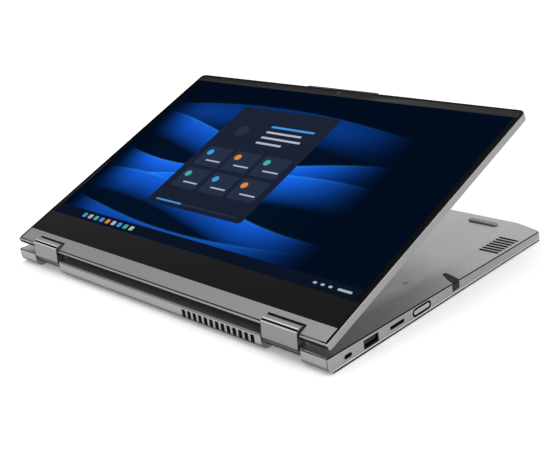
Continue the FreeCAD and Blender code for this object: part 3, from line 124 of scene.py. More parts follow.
# Tops of the painted shadow line and of the painted highlight line along the foot of the other walls
FOOT_SHADOW_TOP = 1.5 * MM
FOOT_HIGHLIGHT_TOP = 2.05 * MM
# Speaker slots: count on a side, first place along Y, step, distance from the middle, size and turn
SLOT_COUNT = 7
SLOT_START = 58.8 * MM
SLOT_STEP = 3.78 * MM
SLOT_PLACE = 151 * MM
SLOT_SIZE = (13.1 * MM, 2.3 * MM)
SLOT_CORNER = SLOT_SIZE[1] * 0.49
SLOT_TURN = radians(16)
SLOT_LIFT = 0.03 * MM
# The black card of painted shade behind the vents: how far inside the rear wall, and its height, from and to
VENT_DEPTH = (0.25 * MM, 0.45 * MM)
VENT_HEIGHT = (3.6 * MM, 9.7 * MM)
# The joint line: height, depth, how far it lies inside the wall, and the gap that it leaves for the stylus
JOINT_HEIGHT = 0.5 * MM
JOINT_DEPTH = 0.6 * MM
JOINT_INSET = 0.03 * MM
JOINT_TAIL_GAP = 0.4 * MM
# Where it ends at the hinge notches, how high it runs on the rear wall, and how proud it is there
JOINT_NOTCH = (106.1 * MM, 138.7 * MM)
JOINT_REAR = (0.1 * MM, 0.55 * MM)
JOINT_PROUD = 0.02 * MM
# The upright joint on a corner block: from and to inside the side wall, its foot and its depth
UPRIGHT_INSET = (0.9 * MM, 0.4 * MM)
UPRIGHT_FOOT = 4.6 * MM
UPRIGHT_DEPTH = 0.3 * MM
# A hinge cap's facets: least length of one along the bend, width of the groove, the steepness that its
# painted shade line and the painted highlight lines beside it span, and where the painted shade under the
# front starts
CAP_LONG = 20 * MM
CAP_GROOVE = 0.25 * MM
CAP_SHADE_LINE = (0.64, 0.83)
CAP_HIGHLIGHT_LINES = (0.5, 0.92)
CAP_SHADE_UNDER = -0.3
# The dark gap round the power button: from and to along X, how far it grows past the button, and its width
GAP_X = (159.0 * MM, 159.72 * MM)
GAP_GROW = 0.7 * MM
GAP_WIDE = 1.4 * MM
GAP_STEPS = 10
# The contact blocks in the wide sockets: wall beside, depth of mouth and block, height, and the contacts
# under it
TONGUE_SIDE = 1.48 * MM
TONGUE_MOUTH = 0.4 * MM
TONGUE_LENGTH = 8.5 * MM
TONGUE_HEIGHT = (4.55 * MM, 6.25 * MM)
CONTACT_END = 0.6 * MM
CONTACT_SHARE = 0.28
CONTACT_HEIGHT = (4.5 * MM, 4.6 * MM)

KEY_ROWS = ("function_keys", "number_keys", "upper_letter_keys", "home_keys",
            "lower_letter_keys", "modifier_keys", "space_bar", "arrow_keys")
LEGENDS = {
    "number_keys": "`1234567890-=",
    "upper_letter_keys": " QWERTYUIOP[]",
    "home_keys": " ASDFGHJKL;'",
    "lower_letter_keys": " ZXCVBNM,./",
}
KEY_RIM = 0.22 * MM
PRINT_LIFT = 0.02 * MM

# Each wave of the picture: height of its crest, swing, waves across, shift, depth of its light, brightness
WAVES = (
    (0.78, 0.10, 3.1, 0.4, 0.22, 0.45),
    (0.66, 0.12, 3.9, 2.0, 0.20, 0.80),
    (0.54, 0.10, 4.6, 3.7, 0.18, 1.00),
    (0.40, 0.11, 3.6, 5.2, 0.20, 1.10),
    (0.27, 0.08, 4.9, 0.9, 0.18, 0.85),
    (0.13, 0.06, 4.2, 2.9, 0.20, 0.50),
)
WAVE_EDGE = 90.0
GLINT_DEPTH = 0.016
# Where the picture fades into the night: at its left, its right and its top, from and to
FADE_LEFT, FADE_RIGHT, FADE_TOP = (0.16, 0.01), (0.56, 0.84), (0.74, 0.95)
# What is drawn on the glass lies in thin cards, a layer apart
LAYER = 0.01 * MM
CARD_STEPS = 4
DISC_SIDES = 40
SLATE, TILE, BLUE, PALE, AMBER, TEAL, DUSK = range(7)
# The window: its middle and size, and where its upper left corner is from the picture's middle
WINDOW_MIDDLE = (-24 * MM, 4 * MM)
WINDOW_SIZE = (102 * MM, 116 * MM)
WINDOW_LEFT, WINDOW_TOP = -69 * MM, 54 * MM
# The round mark's place from that corner and its radius, then the bars beside it
ROUND_PLACE, ROUND_RADIUS = (16 * MM, -20 * MM), 6 * MM
BAR_PLACE, BAR_STEP, BAR_HEIGHT = (40 * MM, -10.5 * MM), 6.3 * MM, 2.1 * MM
BAR_LENGTHS = (44 * MM, 36 * MM, 40 * MM, 26 * MM)
# The tiles, and on each a dot and a line, then the slider below them, and its lit part
TILE_PLACE, TILE_STEP = (14.5 * MM, -52 * MM), (30.5 * MM, 25.5 * MM)
TILE_SIZE = (26.5 * MM, 21.5 * MM)
TILE_DOTS = ((BLUE, AMBER, TEAL), (TEAL, BLUE, AMBER))
DOT_PLACE, DOT_RADIUS = (-7.2 * MM, 4.2 * MM), 3 * MM
LINE_PLACE, LINE_SIZE = (3.5 * MM, -4.5 * MM), (15.5 * MM, 1.4 * MM)
SLIDER_DROP, SLIDER_HEIGHT = 103.5 * MM, 1.6 * MM
SLIDER_PARTS = ((45 * MM, 86 * MM, 7, TILE), (16 * MM, 28 * MM, 8, BLUE))
# The strip along the picture's foot, its tabs from the left and its marks from the right
FOOT_MIDDLE, FOOT_HEIGHT, FOOT_MARGIN = 4.8 * MM, 9.5 * MM, 1 * MM
TAB_START, TAB_STEP, TAB_SIZE = -118 * MM, 7.2 * MM, 4.2 * MM
TAB_TONES = (BLUE, PALE, TEAL, BLUE, AMBER, PALE, BLUE, TEAL, PALE)
MARKS = ((143 * MM, 11 * MM), (131.8 * MM, 2.8 * MM), (125.6 * MM, 2.8 * MM), (119.4 * MM, 2.8 * MM))
MARK_HEIGHT = 1.8 * MM
# The black print round the picture, toned by painted reflection: how soft its changes of tone are, and its
# tone beside, below and above
REFLECTION_SOFT = 0.005
REFLECTION_BESIDE, REFLECTION_BELOW, REFLECTION_ABOVE = 0.25, 1.0, 3.0
# The camera's lens: height up the lid, then the radius of its ring and its bead
LENS_HEIGHT = 210.3 * MM
LENS_RADII = (1.6 * MM, 0.9 * MM)

# The studio: half the floor's width, where its glow rises and from and to what strength, and the lamps, each
# with its place, aim, size and share of the key light's power
FLOOR_HALF = 3.0
# The weaker glow near the object is a painted shade round it.
GLOW_REACH = (0.3, 0.9)
GLOW_STRENGTH = (0.19, 0.34)
LAMPS = (
    ("key_lamp", (-0.1, 0.0, 1.4), (0, 0, 0), 1.1, 1.0),
    ("side_lamp", (1.3, -0.1, 0.66), (0.1, 0, 0), 1.3, 0.58),
)


def lid_matrix():
    """Places what is drawn flat on the lid: X along the hinge, Y up the screen, Z out of the glass."""
    axis = next(Vector(joint["pos_m"]) for joint in frame["joints"] if joint["name"] == "lid_hinge")
    turn = Matrix.Rotation(LID_TILT, 4, "X")
    return Matrix.Translation(axis) @ turn @ Matrix.Translation((0, AXIS_TO_RAIL, AXIS_TO_GLASS))


LID = lid_matrix()


# Sizes and colours that a user would change

def color_setting(name, description, default):
    return bpy.props.FloatVectorProperty(name=name, description=description, subtype="COLOR", size=3,
                                         min=0, max=1, default=default)


def length_setting(name, description, low, high, default):
    return bpy.props.FloatProperty(name=name, description=description, subtype="DISTANCE", unit="LENGTH",
                                   min=low, max=high, default=default)


def angle_setting(name, description, degrees):
    return bpy.props.FloatProperty(name=name, description=description, subtype="ANGLE", unit="ROTATION",
                                   default=radians(degrees))


class LaptopShellSettings(bpy.types.PropertyGroup):
    case_color: color_setting("Case", "Satin grey of the side and rear walls", (0.330, 0.325, 0.333))
    cover_color: color_setting("Bottom cover", "Grey of the bottom cover", (0.385, 0.385, 0.387))
    rail_color: color_setting("Hinge rail", "Darker grey of the bar under the glass", (0.225, 0.219, 0.226))
    lid_color: color_setting("Lid", "Grey of the lid's tray", (0.285, 0.288, 0.293))
    # The lid's back is darker than the lid as a painted shade, to darken the cover under it.
    back_shade_color: color_setting("Lid back", "Darker grey of the lid's back", (0.095, 0.096, 0.099))
    cap_color: color_setting("Hinge caps", "Grey of the two hinge caps", (0.240, 0.236, 0.242))
    edge_round: length_setting("Edge rounding", "Radius on the metal edges", 0.00005, 0.001, 0.0002)


class LaptopKeySettings(bpy.types.PropertyGroup):
    key_color: color_setting("Keys", "Dark grey of the key caps", (0.045, 0.045, 0.048))
    legend_color: color_setting("Legends", "Pale print on the keys", (0.62, 0.62, 0.62))
    corner: length_setting("Key corner", "Corner radius of a key cap", 0.0002, 0.003, 0.0013)
    legend_size: length_setting("Legend size", "Height of the printed characters", 0.001, 0.01, 0.0045)


class LaptopScreenSettings(bpy.types.PropertyGroup):
    night_color: color_setting("Night", "Dark ground of the picture", (0.0005, 0.004, 0.013))
    wave_color: color_setting("Wave", "Bright crest of the waves", (0.010, 0.150, 0.95))
    glint_color: color_setting("Glint", "Light edge along the crest of each wave", (0.035, 0.330, 1.0))
    panel_color: color_setting("Panel", "Dark slate of the window on the screen", (0.011, 0.016, 0.034))
    picture_width: length_setting("Picture width", "Width of the lit area", 0.1, 0.4, 0.3094)
    picture_height: length_setting("Picture height", "Height of the lit area", 0.1, 0.4, 0.174)
    picture_middle: length_setting(
        "Picture middle", "Height of the picture's middle above the rail's lower edge", 0.05, 0.2, 0.1188)


class LaptopStageSettings(bpy.types.PropertyGroup):
    azimuth: angle_setting("Azimuth", "Camera's turn round the object", 48.03)
    elevation: angle_setting("Elevation", "Camera's angle above the floor", 21.25)
    roll: angle_setting("Roll", "Camera's lean", -7.98)
    place: bpy.props.FloatVectorProperty(
        name="Camera place", description="Where the camera stands", subtype="TRANSLATION", unit="LENGTH",
        size=3, default=(0.51645, -0.44810, 0.28470))
    lens: bpy.props.FloatProperty(
        name="Lens", description="Focal length in millimetres on a 36 mm sensor", min=10, max=300,
        default=65.95)
    dome: bpy.props.FloatProperty(
        name="Dome", description="Strength of the even light from all round", min=0, max=2, default=0.85)
    key_power: bpy.props.FloatProperty(
        name="Key light", description="Power of the large lamp overhead", subtype="POWER", unit="POWER",
        min=0, max=200, default=8.5)


SETTINGS = {
    "laptop_shell": LaptopShellSettings,
    "laptop_keys": LaptopKeySettings,
    "laptop_screen": LaptopScreenSettings,
    "laptop_stage": LaptopStageSettings,
}


# Materials

def feed(tree, node, inputs):
    """Link a node's inputs to other nodes' outputs, or set them to plain values."""
    for name, given in inputs.items():
        if isinstance(given, bpy.types.NodeSocket):
            tree.links.new(given, node.inputs[name])
        else:
            node.inputs[name].default_value = given


def add_node(tree, kind, inputs, **options):
    """The outputs of a new node, with its options set first and then its inputs."""
    node = tree.nodes.new(f"ShaderNode{kind}")
    for name, value in options.items():
        setattr(node, name, value)
    feed(tree, node, inputs)
    return node.outputs


def blank_material(name):
    finish = bpy.data.materials.new(name)
    finish.use_nodes = True
    tree = finish.node_tree
    tree.nodes.clear()
    output = tree.nodes.new("ShaderNodeOutputMaterial")
    shader = tree.nodes.new("ShaderNodeBsdfPrincipled")
    feed(tree, output, {"Surface": shader.outputs["BSDF"]})
    return finish, tree, shader


def object_place(tree):
    return add_node(tree, "TexCoord", {})["Object"]


def along_y(tree):
    """How far along Y a place is."""
    return add_node(tree, "SeparateXYZ", {"Vector": object_place(tree)})["Y"]


def on_screen(tree):
    """How far across and how far up the picture a place is, each from nought to one."""
    screen = bpy.context.scene.laptop_screen
    wide, tall = screen.picture_width, screen.picture_height
    corner = LID @ Vector((-wide / 2, screen.picture_middle - tall / 2, 0))
    mapped = add_node(tree, "Mapping", {
        "Location": corner, "Rotation": (LID_TILT, 0, 0), "Scale": (wide, tall, 1),
        "Vector": object_place(tree)}, vector_type="TEXTURE")
    split = add_node(tree, "SeparateXYZ", {"Vector": mapped["Vector"]})
    return split["X"], split["Y"]


def object_noise(tree, scale, detail=3.0, stretch=(1, 1, 1)):
    """Noise on object coordinates, per metre."""
    mapped = add_node(tree, "Mapping", {"Scale": stretch, "Vector": object_place(tree)})
    return add_node(tree, "TexNoise", {"Scale": scale, "Detail": detail, "Vector": mapped["Vector"]})["Fac"]


def scratches(tree):
    """Noise drawn out into fine lines along X."""
    return object_noise(tree, scale=900, stretch=(0.04, 1, 1))


def shaded(color, factor):
    return (*[min(1.0, channel * factor) for channel in color], 1.0)


def grey(level):
    return level, level, level, 1.0


def ramp(tree, source, low, high, start=0.3, end=0.7):
    node = tree.nodes.new("ShaderNodeValToRGB")
    for element, position, color in zip(node.color_ramp.elements, (start, end), (low, high)):
        element.position = position
        element.color = color
    feed(tree, node, {"Fac": source})
    return node.outputs["Color"]


def spread(tree, source, low, high):
    return add_node(tree, "MapRange", {"To Min": low, "To Max": high, "Value": source})["Result"]


def eased(tree, source, start, end):
    """A soft step from nought at start to one at end."""
    return add_node(tree, "MapRange", {"From Min": start, "From Max": end, "Value": source},
                    interpolation_type="SMOOTHSTEP")["Result"]


def calculate(tree, operation, *given, clamp=False):
    return add_node(tree, "Math", dict(enumerate(given)), operation=operation, use_clamp=clamp)["Value"]


def blended(tree, amount, under, over):
    return add_node(tree, "Mix", {"Factor": amount, "A": under, "B": over}, data_type="RGBA")["Result"]


def bump(tree, source, strength, distance=0.02 * MM):
    return add_node(tree, "Bump", {"Strength": strength, "Distance": distance, "Height": source})["Normal"]


def mottled(name, color, variation, roughness, grain, metallic=0.0, strength=0.25, drift=0.06, gloss=0.5,
            fade=None):
    """A surface with a slow change of tone, a finer drift of roughness and a fine grain.

    fade darkens its rear with painted shade.
    """
    finish, tree, shader = blank_material(name)
    clouds = object_noise(tree, scale=24, detail=4)
    tone = ramp(tree, clouds, shaded(color, 1 - variation), shaded(color, 1 + variation))
    # The darker rear is painted shade.
    if fade:
        start, end, dark = fade
        dim = shaded(color, dark)[:3]
        rear = ramp(tree, clouds, shaded(dim, 1 - variation), shaded(dim, 1 + variation))
        tone = blended(tree, eased(tree, along_y(tree), start, end), rear, tone)
    haze = object_noise(tree, scale=160, detail=2)
    feed(tree, shader, {"Base Color": tone, "Metallic": metallic, "Specular IOR Level": gloss,
                        "Roughness": spread(tree, haze, roughness - drift, roughness + drift),
                        "Normal": bump(tree, object_noise(tree, grain, detail=2), strength)})
    return finish


def satin_metal(name, color, roughness=0.34, fade=None):
    return mottled(name, color[:3], variation=0.03, roughness=roughness, grain=5200, metallic=0.96,
                   strength=0.02, drift=0.03, fade=fade)


def moulded(name, color, roughness=0.5, gloss=0.5):
    return mottled(name, color, variation=0.08, roughness=roughness, grain=3200, gloss=gloss)


def joint_and_shade_black(name, gloss=0.04):
    """Black that gives back next to no light, for dark joints and seals, and for painted shade in gaps and
    slots.
    """
    return moulded(name, (0.004, 0.004, 0.0045), 0.8, gloss)


def brushed(name, color, roughness=0.3):
    """Metal with fine scratches along X."""
    finish, tree, shader = blank_material(name)
    lines = scratches(tree)
    feed(tree, shader, {"Base Color": ramp(tree, lines, shaded(color, 0.86), shaded(color, 1.12)),
                        "Roughness": spread(tree, lines, roughness - 0.08, roughness + 0.1),
                        "Metallic": 0.9, "Normal": bump(tree, lines, 0.2)})
    return finish


def ribbed(name, color):
    """Fine ribs across a button, about one every millimetre along Y."""
    finish, tree, shader = blank_material(name)
    ribs = add_node(tree, "TexWave", {"Scale": 300, "Vector": object_place(tree)}, bands_direction="Y")["Fac"]
    feed(tree, shader, {"Base Color": ramp(tree, ribs, shaded(color, 0.9), shaded(color, 1.08), 0.1, 0.9),
                        "Metallic": 0.55, "Roughness": 0.4, "Normal": bump(tree, ribs, 0.3, 0.08 * MM)})
    return finish


def circuit(name, color):
    """A board with copper tracks under its lacquer."""
    finish, tree, shader = blank_material(name)
    tracks = add_node(tree, "TexBrick", {
        "Scale": 130, "Mortar Size": 0.03, "Color1": shaded(color, 0.8), "Color2": shaded(color, 1.3),
        "Mortar": shaded(color, 2.6), "Vector": object_place(tree)})
    feed(tree, shader, {"Base Color": tracks["Color"], "Roughness": 0.35,
                        "Normal": bump(tree, object_noise(tree, scale=700, detail=2), 0.2, 0.05 * MM)})
    return finish


def dark_glass(name, color):
    """Gloss glass over black print that painted reflection makes a touch lighter below the picture, more so
    above.
    """
    finish, tree, shader = blank_material(name)
    up = on_screen(tree)[1]
    # A painted reflection lightens the border below and above the picture.
    below = eased(tree, up, REFLECTION_SOFT, -REFLECTION_SOFT)
    above = eased(tree, up, 1 - REFLECTION_SOFT, 1 + REFLECTION_SOFT)
    tone = blended(tree, below, shaded(color, REFLECTION_BESIDE), shaded(color, REFLECTION_BELOW))
    tone = blended(tree, above, tone, shaded(color, REFLECTION_ABOVE))
    smears = object_noise(tree, scale=45, detail=5)
    feed(tree, shader, {"Base Color": tone, "Roughness": spread(tree, smears, 0.10, 0.18),
                        "Specular IOR Level": 0.015})
    return finish


def light_up(tree, shader, color):
    """Let a surface show its own light, as a screen behind glass."""
    feed(tree, shader, {"Base Color": grey(0.0), "Emission Color": color, "Emission Strength": 1.0,
                        "Roughness": 0.08, "Specular IOR Level": 0.0})


def lit(name, color):
    """A patch of the lit picture, with a faint change of tone up the screen."""
    finish, tree, shader = blank_material(name)
    up = on_screen(tree)[1]
    light_up(tree, shader, ramp(tree, up, shaded(color, 0.9), shaded(color, 1.1), 0.0, 1.0))
    return finish


def night_waves(name):
    """The lit picture: broad blue waves that fade into a night ground on three sides."""
    screen = bpy.context.scene.laptop_screen
    finish, tree, shader = blank_material(name)
    across, up = on_screen(tree)
    night = screen.night_color
    color = ramp(tree, up, shaded(night, 0.4), shaded(night, 1.6), 0.0, 1.0)
    for crest, swing, count, shift, depth, light in WAVES:
        turn = calculate(tree, "SINE", calculate(tree, "MULTIPLY_ADD", across, count, shift))
        line = calculate(tree, "MULTIPLY_ADD", turn, swing, crest)
        below = calculate(tree, "SUBTRACT", line, up)
        inside = calculate(tree, "MULTIPLY", below, WAVE_EDGE, clamp=True)
        fall = calculate(tree, "DIVIDE", below, depth, clamp=True)
        sheet = ramp(tree, fall, shaded(screen.wave_color, light), shaded(night, 1.5), 0.0, 0.9)
        glint = eased(tree, below, GLINT_DEPTH, 0.0)
        sheet = blended(tree, glint, sheet, shaded(screen.glint_color, light))
        color = blended(tree, inside, color, sheet)
    for source, span in ((across, FADE_LEFT), (across, FADE_RIGHT), (up, FADE_TOP)):
        color = blended(tree, eased(tree, source, *span), color, shaded(night, 1.0))
    light_up(tree, shader, color)
    return finish


# Mesh helpers

def link_new(name, mesh):
    """An object of a finished mesh, at the origin."""
    data = bpy.data.meshes.new(name)
    mesh.to_mesh(data)
    mesh.free()
    made = bpy.data.objects.new(name, data)
    bpy.context.scene.collection.objects.link(made)
    return made


def piece(name, mesh, finishes, body, stands_for=()):
    """Make an object of a finished mesh and let it ride on its body."""
    made = link_new(name, mesh)
    for finish in finishes:
        made.data.materials.append(finish)
    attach(made, body)
    if stands_for:
        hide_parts(*stands_for)
    return made


def node_mesh(node):
    """A node's mesh, merged and with its flat triangles joined."""
    mesh = bmesh.new()
    mesh.from_mesh(frame["nodes"][node].data)
    bmesh.ops.remove_doubles(mesh, verts=mesh.verts, dist=MERGE)
    bmesh.ops.dissolve_limit(mesh, angle_limit=FLAT_ANGLE, verts=mesh.verts, edges=mesh.edges)
    return mesh


def bevel_edges(mesh, edges, width, segments=2):
    if edges:
        bmesh.ops.bevel(mesh, geom=edges, offset=width, offset_type="OFFSET", segments=segments, profile=0.5,
                        affect="EDGES", clamp_overlap=False, material=-1)


def direction(edge):
    return (edge.verts[0].co - edge.verts[1].co).normalized()


def sharp_edges(mesh, shortest):
    """Outer edges long enough to take a rounding."""
    found = []
    for edge in mesh.edges:
        if len(edge.link_faces) == 2 and edge.calc_length() > shortest and edge.is_convex:
            if edge.calc_face_angle(0.0) > SHARP_ANGLE:
                found.append(edge)
    return found


def smooth(made):
    """Smooth the rounded parts, and keep the flat faces flat."""
    for face in made.data.polygons:
        face.use_smooth = True
    made.data.set_sharp_from_angle(angle=CREASE_ANGLE)
    weighted = made.modifiers.new("Flat faces", "WEIGHTED_NORMAL")
    weighted.keep_sharp = True


def softened(node, name, finishes, body, width, shortest=LONG_EDGE, pick=None, splits=(), keep=None,
             adjust=None):
    """A node's own form with its outer edges rounded.

    adjust changes the form first, keep tells which edges are rounded, splits are planes that cut the faces,
    and pick gives the number of a face's finish.
    """
    mesh = node_mesh(node)
    if adjust:
        adjust(mesh)
    edges = sharp_edges(mesh, shortest)
    bevel_edges(mesh, [edge for edge in edges if keep(edge)] if keep else edges, width)
    for point, normal in splits:
        bmesh.ops.bisect_plane(mesh, geom=[*mesh.verts, *mesh.edges, *mesh.faces], dist=CUT_REACH,
                               plane_co=point, plane_no=normal)
    if pick:
        for face in mesh.faces:
            face.material_index = pick(face)
    smooth(piece(name, mesh, finishes, body, [node]))


def paint(verts, index):
    """Give the faces on some corners a finish."""
    for face in {face for vert in verts for face in vert.link_faces}:
        face.material_index = index


def edges_along(verts, axis):
    """The edges on some corners that run along an axis."""
    edges = {edge for vert in verts for edge in vert.link_edges}
    return [edge for edge in edges if abs(direction(edge)[axis]) > ALONG]


def add_block(mesh, low, high, index=0):
    """A block between two corners."""
    low, high = Vector(low), Vector(high)
    place = Matrix.Translation((low + high) / 2) @ Matrix.Diagonal((*(high - low), 1))
    verts = bmesh.ops.create_cube(mesh, size=1.0, matrix=place)["verts"]
    paint(verts, index)
    return verts


def add_card(mesh, middle, size, corner, height, index=0):
    """A thin card with round corners, facing Z."""
    x, y = middle
    wide, tall = size[0] / 2, size[1] / 2
    verts = add_block(mesh, (x - wide, y - tall, height - LAYER), (x + wide, y + tall, height), index)
    bevel_edges(mesh, edges_along(verts, 2), corner, CARD_STEPS)


def add_disc(mesh, middle, radius, height, index=0):
    """A flat disc, facing Z."""
    place = Matrix.Translation((*middle, height))
    made = bmesh.ops.create_circle(mesh, cap_ends=True, radius=radius, segments=DISC_SIDES, matrix=place)
    paint(made["verts"], index)


def islands(node):
    """The box of each separate solid of a node, from left to right."""
    mesh = node_mesh(node)
    waiting = set(mesh.verts)
    boxes = []
    while waiting:
        todo = [waiting.pop()]
        found = []
        while todo:
            vert = todo.pop()
            found.append(vert.co.copy())
            for edge in vert.link_edges:
                other = edge.other_vert(vert)
                if other in waiting:
                    waiting.remove(other)
                    todo.append(other)
        boxes.append([Vector(end(point[axis] for point in found) for axis in range(3)) for end in (min, max)])
    mesh.free()
    return sorted(boxes, key=lambda box: box[0].x)


def dress(nodes, finish):
    """Give nodes that keep their own mesh a finish."""
    for name in nodes:
        data = frame["nodes"][name].data
        data.materials.clear()
        data.materials.append(finish)


def flank_height(point):
    """Height of the cover's sloping flank at a place."""
    share = (point.y - CASE_LOW.y) / (CASE_HIGH.y - CASE_LOW.y)
    edge = EDGE_REAR - EDGE_FALL * share
    crest = CREST_REAR - CREST_FALL * share
    return crest - (crest - edge) * (abs(point.x) - CASE_HIGH.x + FLANK_WIDTH) / FLANK_WIDTH


# Operators, one for each piece or group of like pieces

class LAPTOP_OT_case(bpy.types.Operator):
    """Finish the tub, the bottom cover and the seal between them"""
    bl_idname = "laptop.case"
    bl_label = "Case"

    def execute(self, context):
        shell = context.scene.laptop_shell
        # The foot's black and bright finishes are a painted shadow line and a painted highlight line.
        tub = [satin_metal("case_satin", shell.case_color), joint_and_shade_black("foot_painted_shadow"),
               satin_metal("foot_painted_highlight", shaded(shell.case_color, 2.3), 0.3)]
        # Painted shade for the rear foot, one tone for each steepness.
        for index, (_, factor) in enumerate(FOOT_SHADE_TONES):
            tub.append(satin_metal(f"case_painted_shade_{index}", shaded(shell.case_color, factor)))
        # The cover takes a painted shade towards the hinge, where the lid above it shades it.
        cover = [satin_metal("cover_satin", shell.cover_color, 0.36, COVER_PAINTED_SHADE),
                 moulded("strip_painted_shade", (0.050, 0.049, 0.050), 0.6, 0.2)]
        lines = [((0, 0, height), (0, 0, 1)) for height in (FOOT_SHADOW_TOP, FOOT_HIGHLIGHT_TOP)]
        softened("deck_frame", "case_tub", tub, "base", shell.edge_round, 4 * MM,
                 pick=self.wall_tone, splits=lines, adjust=self.rear_wall)
        # These cuts bound the dark strip along the hinge, a painted shade where the lid shades the cover.
        cuts = [((0, CASE_LOW.y + COVER_STRIP, 0), (0, 1, 0)),
                ((COVER_STRIP_HALF, 0, 0), (1, 0, 0)), ((-COVER_STRIP_HALF, 0, 0), (1, 0, 0))]
        softened("bottom_cover", "case_cover", cover, "base", shell.edge_round, 4 * MM,
                 pick=self.cover_tone, splits=cuts, keep=self.border)
        self.seal()
        self.screens()
        return {"FINISHED"}

    def rear_wall(self, mesh):
        """Give the rear wall a raised lip between the hinges, a lower slope and a round foot."""
        for vert in mesh.verts:
            share = (vert.co.y - CASE_LOW.y) / SLOPE_DEPTH
            top = abs(vert.co.z - WALL_TOP) < LIP_REACH and abs(vert.co.x) < LIP_HALF
            if top and vert.co.y < CASE_LOW.y + HAIR:
                vert.co.z += LIP_RISE
            if share < 1 and abs(vert.co.z - SLOPE_HEIGHT * (1 - share)) < SLOPE_REACH:
                vert.co.z *= SLOPE_LEFT
        low = {vert for vert in mesh.verts if abs(vert.co.y - CASE_LOW.y) < HAIR
               and abs(vert.co.z - SLOPE_HEIGHT * SLOPE_LEFT) < SLOPE_REACH}
        foot = [edge for edge in mesh.edges if low.issuperset(edge.verts)]
        bevel_edges(mesh, foot, FOOT_ROUND, FOOT_STEPS)

    def wall_tone(self, face):
        """One on the painted shadow line at the foot of the walls, two on the painted highlight line above
        it, and three and up on the painted shade at the rear, where the foot turns under."""
        middle, normal = face.calc_center_median(), face.normal
        if middle.y < CASE_LOW.y + FOOT_SHADE_DEPTH:
            if middle.z > FOOT_SHADE_HEIGHT or normal.z < -LEVEL:
                return 0
            # The rear foot takes painted shade, darker the more it faces down.
            tones = [3 + index for index, (steepness, _) in enumerate(FOOT_SHADE_TONES) if normal.z < steepness]
            return tones[-1] if tones else 0
        # The side and front walls take a painted shadow at the floor and a painted highlight above it.
        side = abs(middle.x) > CASE_HIGH.x - CASE_CORNER and normal.x * middle.x > LEANING * abs(middle.x)
        front = middle.y > CASE_HIGH.y - CASE_CORNER and normal.y > LEANING
        if middle.z > FOOT_HIGHLIGHT_TOP or not (side or front):
            return 0
        return 1 if middle.z < FOOT_SHADOW_TOP else 2

    def border(self, edge):
        """True on the edges round the outside of the cover."""
        low, high = CASE_LOW.y + COVER_RIM, CASE_HIGH.y - COVER_RIM
        return all(abs(vert.co.x) > CASE_HIGH.x - COVER_RIM or not low < vert.co.y < high
                   for vert in edge.verts)

    def cover_tone(self, face):
        """One on the strip of painted shade along the hinge and in its screw holes, else none."""
        middle = face.calc_center_median()
        rear = middle.y < CASE_LOW.y + COVER_STRIP and abs(middle.x) < COVER_STRIP_HALF
        return int(rear and (face.normal.z > FACING or middle.y > CASE_LOW.y + COVER_HOLES))

    def screens(self):
        """Black cards of painted shade in the speaker slots and behind the vents."""
        mesh = bmesh.new()
        for side in (-1, 1):
            turn = Matrix.Rotation(side * SLOT_TURN, 4, "Z")
            for index in range(SLOT_COUNT):
                before = set(mesh.verts)
                add_card(mesh, (0, 0), SLOT_SIZE, SLOT_CORNER, 0)
                made = [vert for vert in mesh.verts if vert not in before]
                place = Matrix.Translation((side * SLOT_PLACE, SLOT_START + index * SLOT_STEP, 0))
                bmesh.ops.transform(mesh, matrix=place @ turn, verts=made)
        for vert in mesh.verts:
            vert.co.z += flank_height(vert.co) + SLOT_LIFT
        fins_low, fins_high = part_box("heat_sink_fins")
        add_block(mesh, (fins_low.x, CASE_LOW.y + VENT_DEPTH[0], VENT_HEIGHT[0]),
                  (fins_high.x, CASE_LOW.y + VENT_DEPTH[1], VENT_HEIGHT[1]))
        piece("slot_painted_shade", mesh, [joint_and_shade_black("slot_shade_black")], "base")

    def seal(self):
        """The dark joint line that runs round between tub and cover, and down the corner blocks."""
        low, high = CASE_LOW, CASE_HIGH
        lean = (WALL_TOP - FRONT_TOP) / (high.y - low.y)
        tail_low, tail_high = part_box("stylus_tail")
        rear, front = low.y + JOINT_INSET, high.y - CASE_CORNER
        mesh = bmesh.new()
        for side, start, end in ((-1, rear, front), (1, rear, tail_low.y - JOINT_TAIL_GAP),
                                 (1, tail_high.y + JOINT_TAIL_GAP, front)):
            x = sorted((side * (high.x - JOINT_INSET), side * (high.x - JOINT_DEPTH)))
            add_block(mesh, (x[0], start, 0), (x[1], end, JOINT_HEIGHT))
        add_block(mesh, (low.x + CASE_CORNER, high.y - JOINT_DEPTH, 0),
                  (high.x - CASE_CORNER, high.y - JOINT_INSET, JOINT_HEIGHT))
        inner, outer = JOINT_NOTCH
        for start, end in ((low.x + JOINT_INSET, -outer), (outer, high.x - JOINT_INSET)):
            add_block(mesh, (start, rear, 0), (end, low.y + JOINT_DEPTH, JOINT_HEIGHT / 2))
        add_block(mesh, (-inner, low.y - JOINT_PROUD, JOINT_REAR[0]),
                  (inner, low.y + JOINT_DEPTH, JOINT_REAR[1]))
        for vert in mesh.verts:
            vert.co.z += WALL_TOP - lean * (vert.co.y - low.y)
        for side in (-1, 1):
            x = sorted(side * (high.x - inset) for inset in UPRIGHT_INSET)
            add_block(mesh, (x[0], low.y - HAIR, UPRIGHT_FOOT), (x[1], low.y + UPRIGHT_DEPTH, WALL_TOP))
        piece("case_joint", mesh, [joint_and_shade_black("joint_black")], "base")


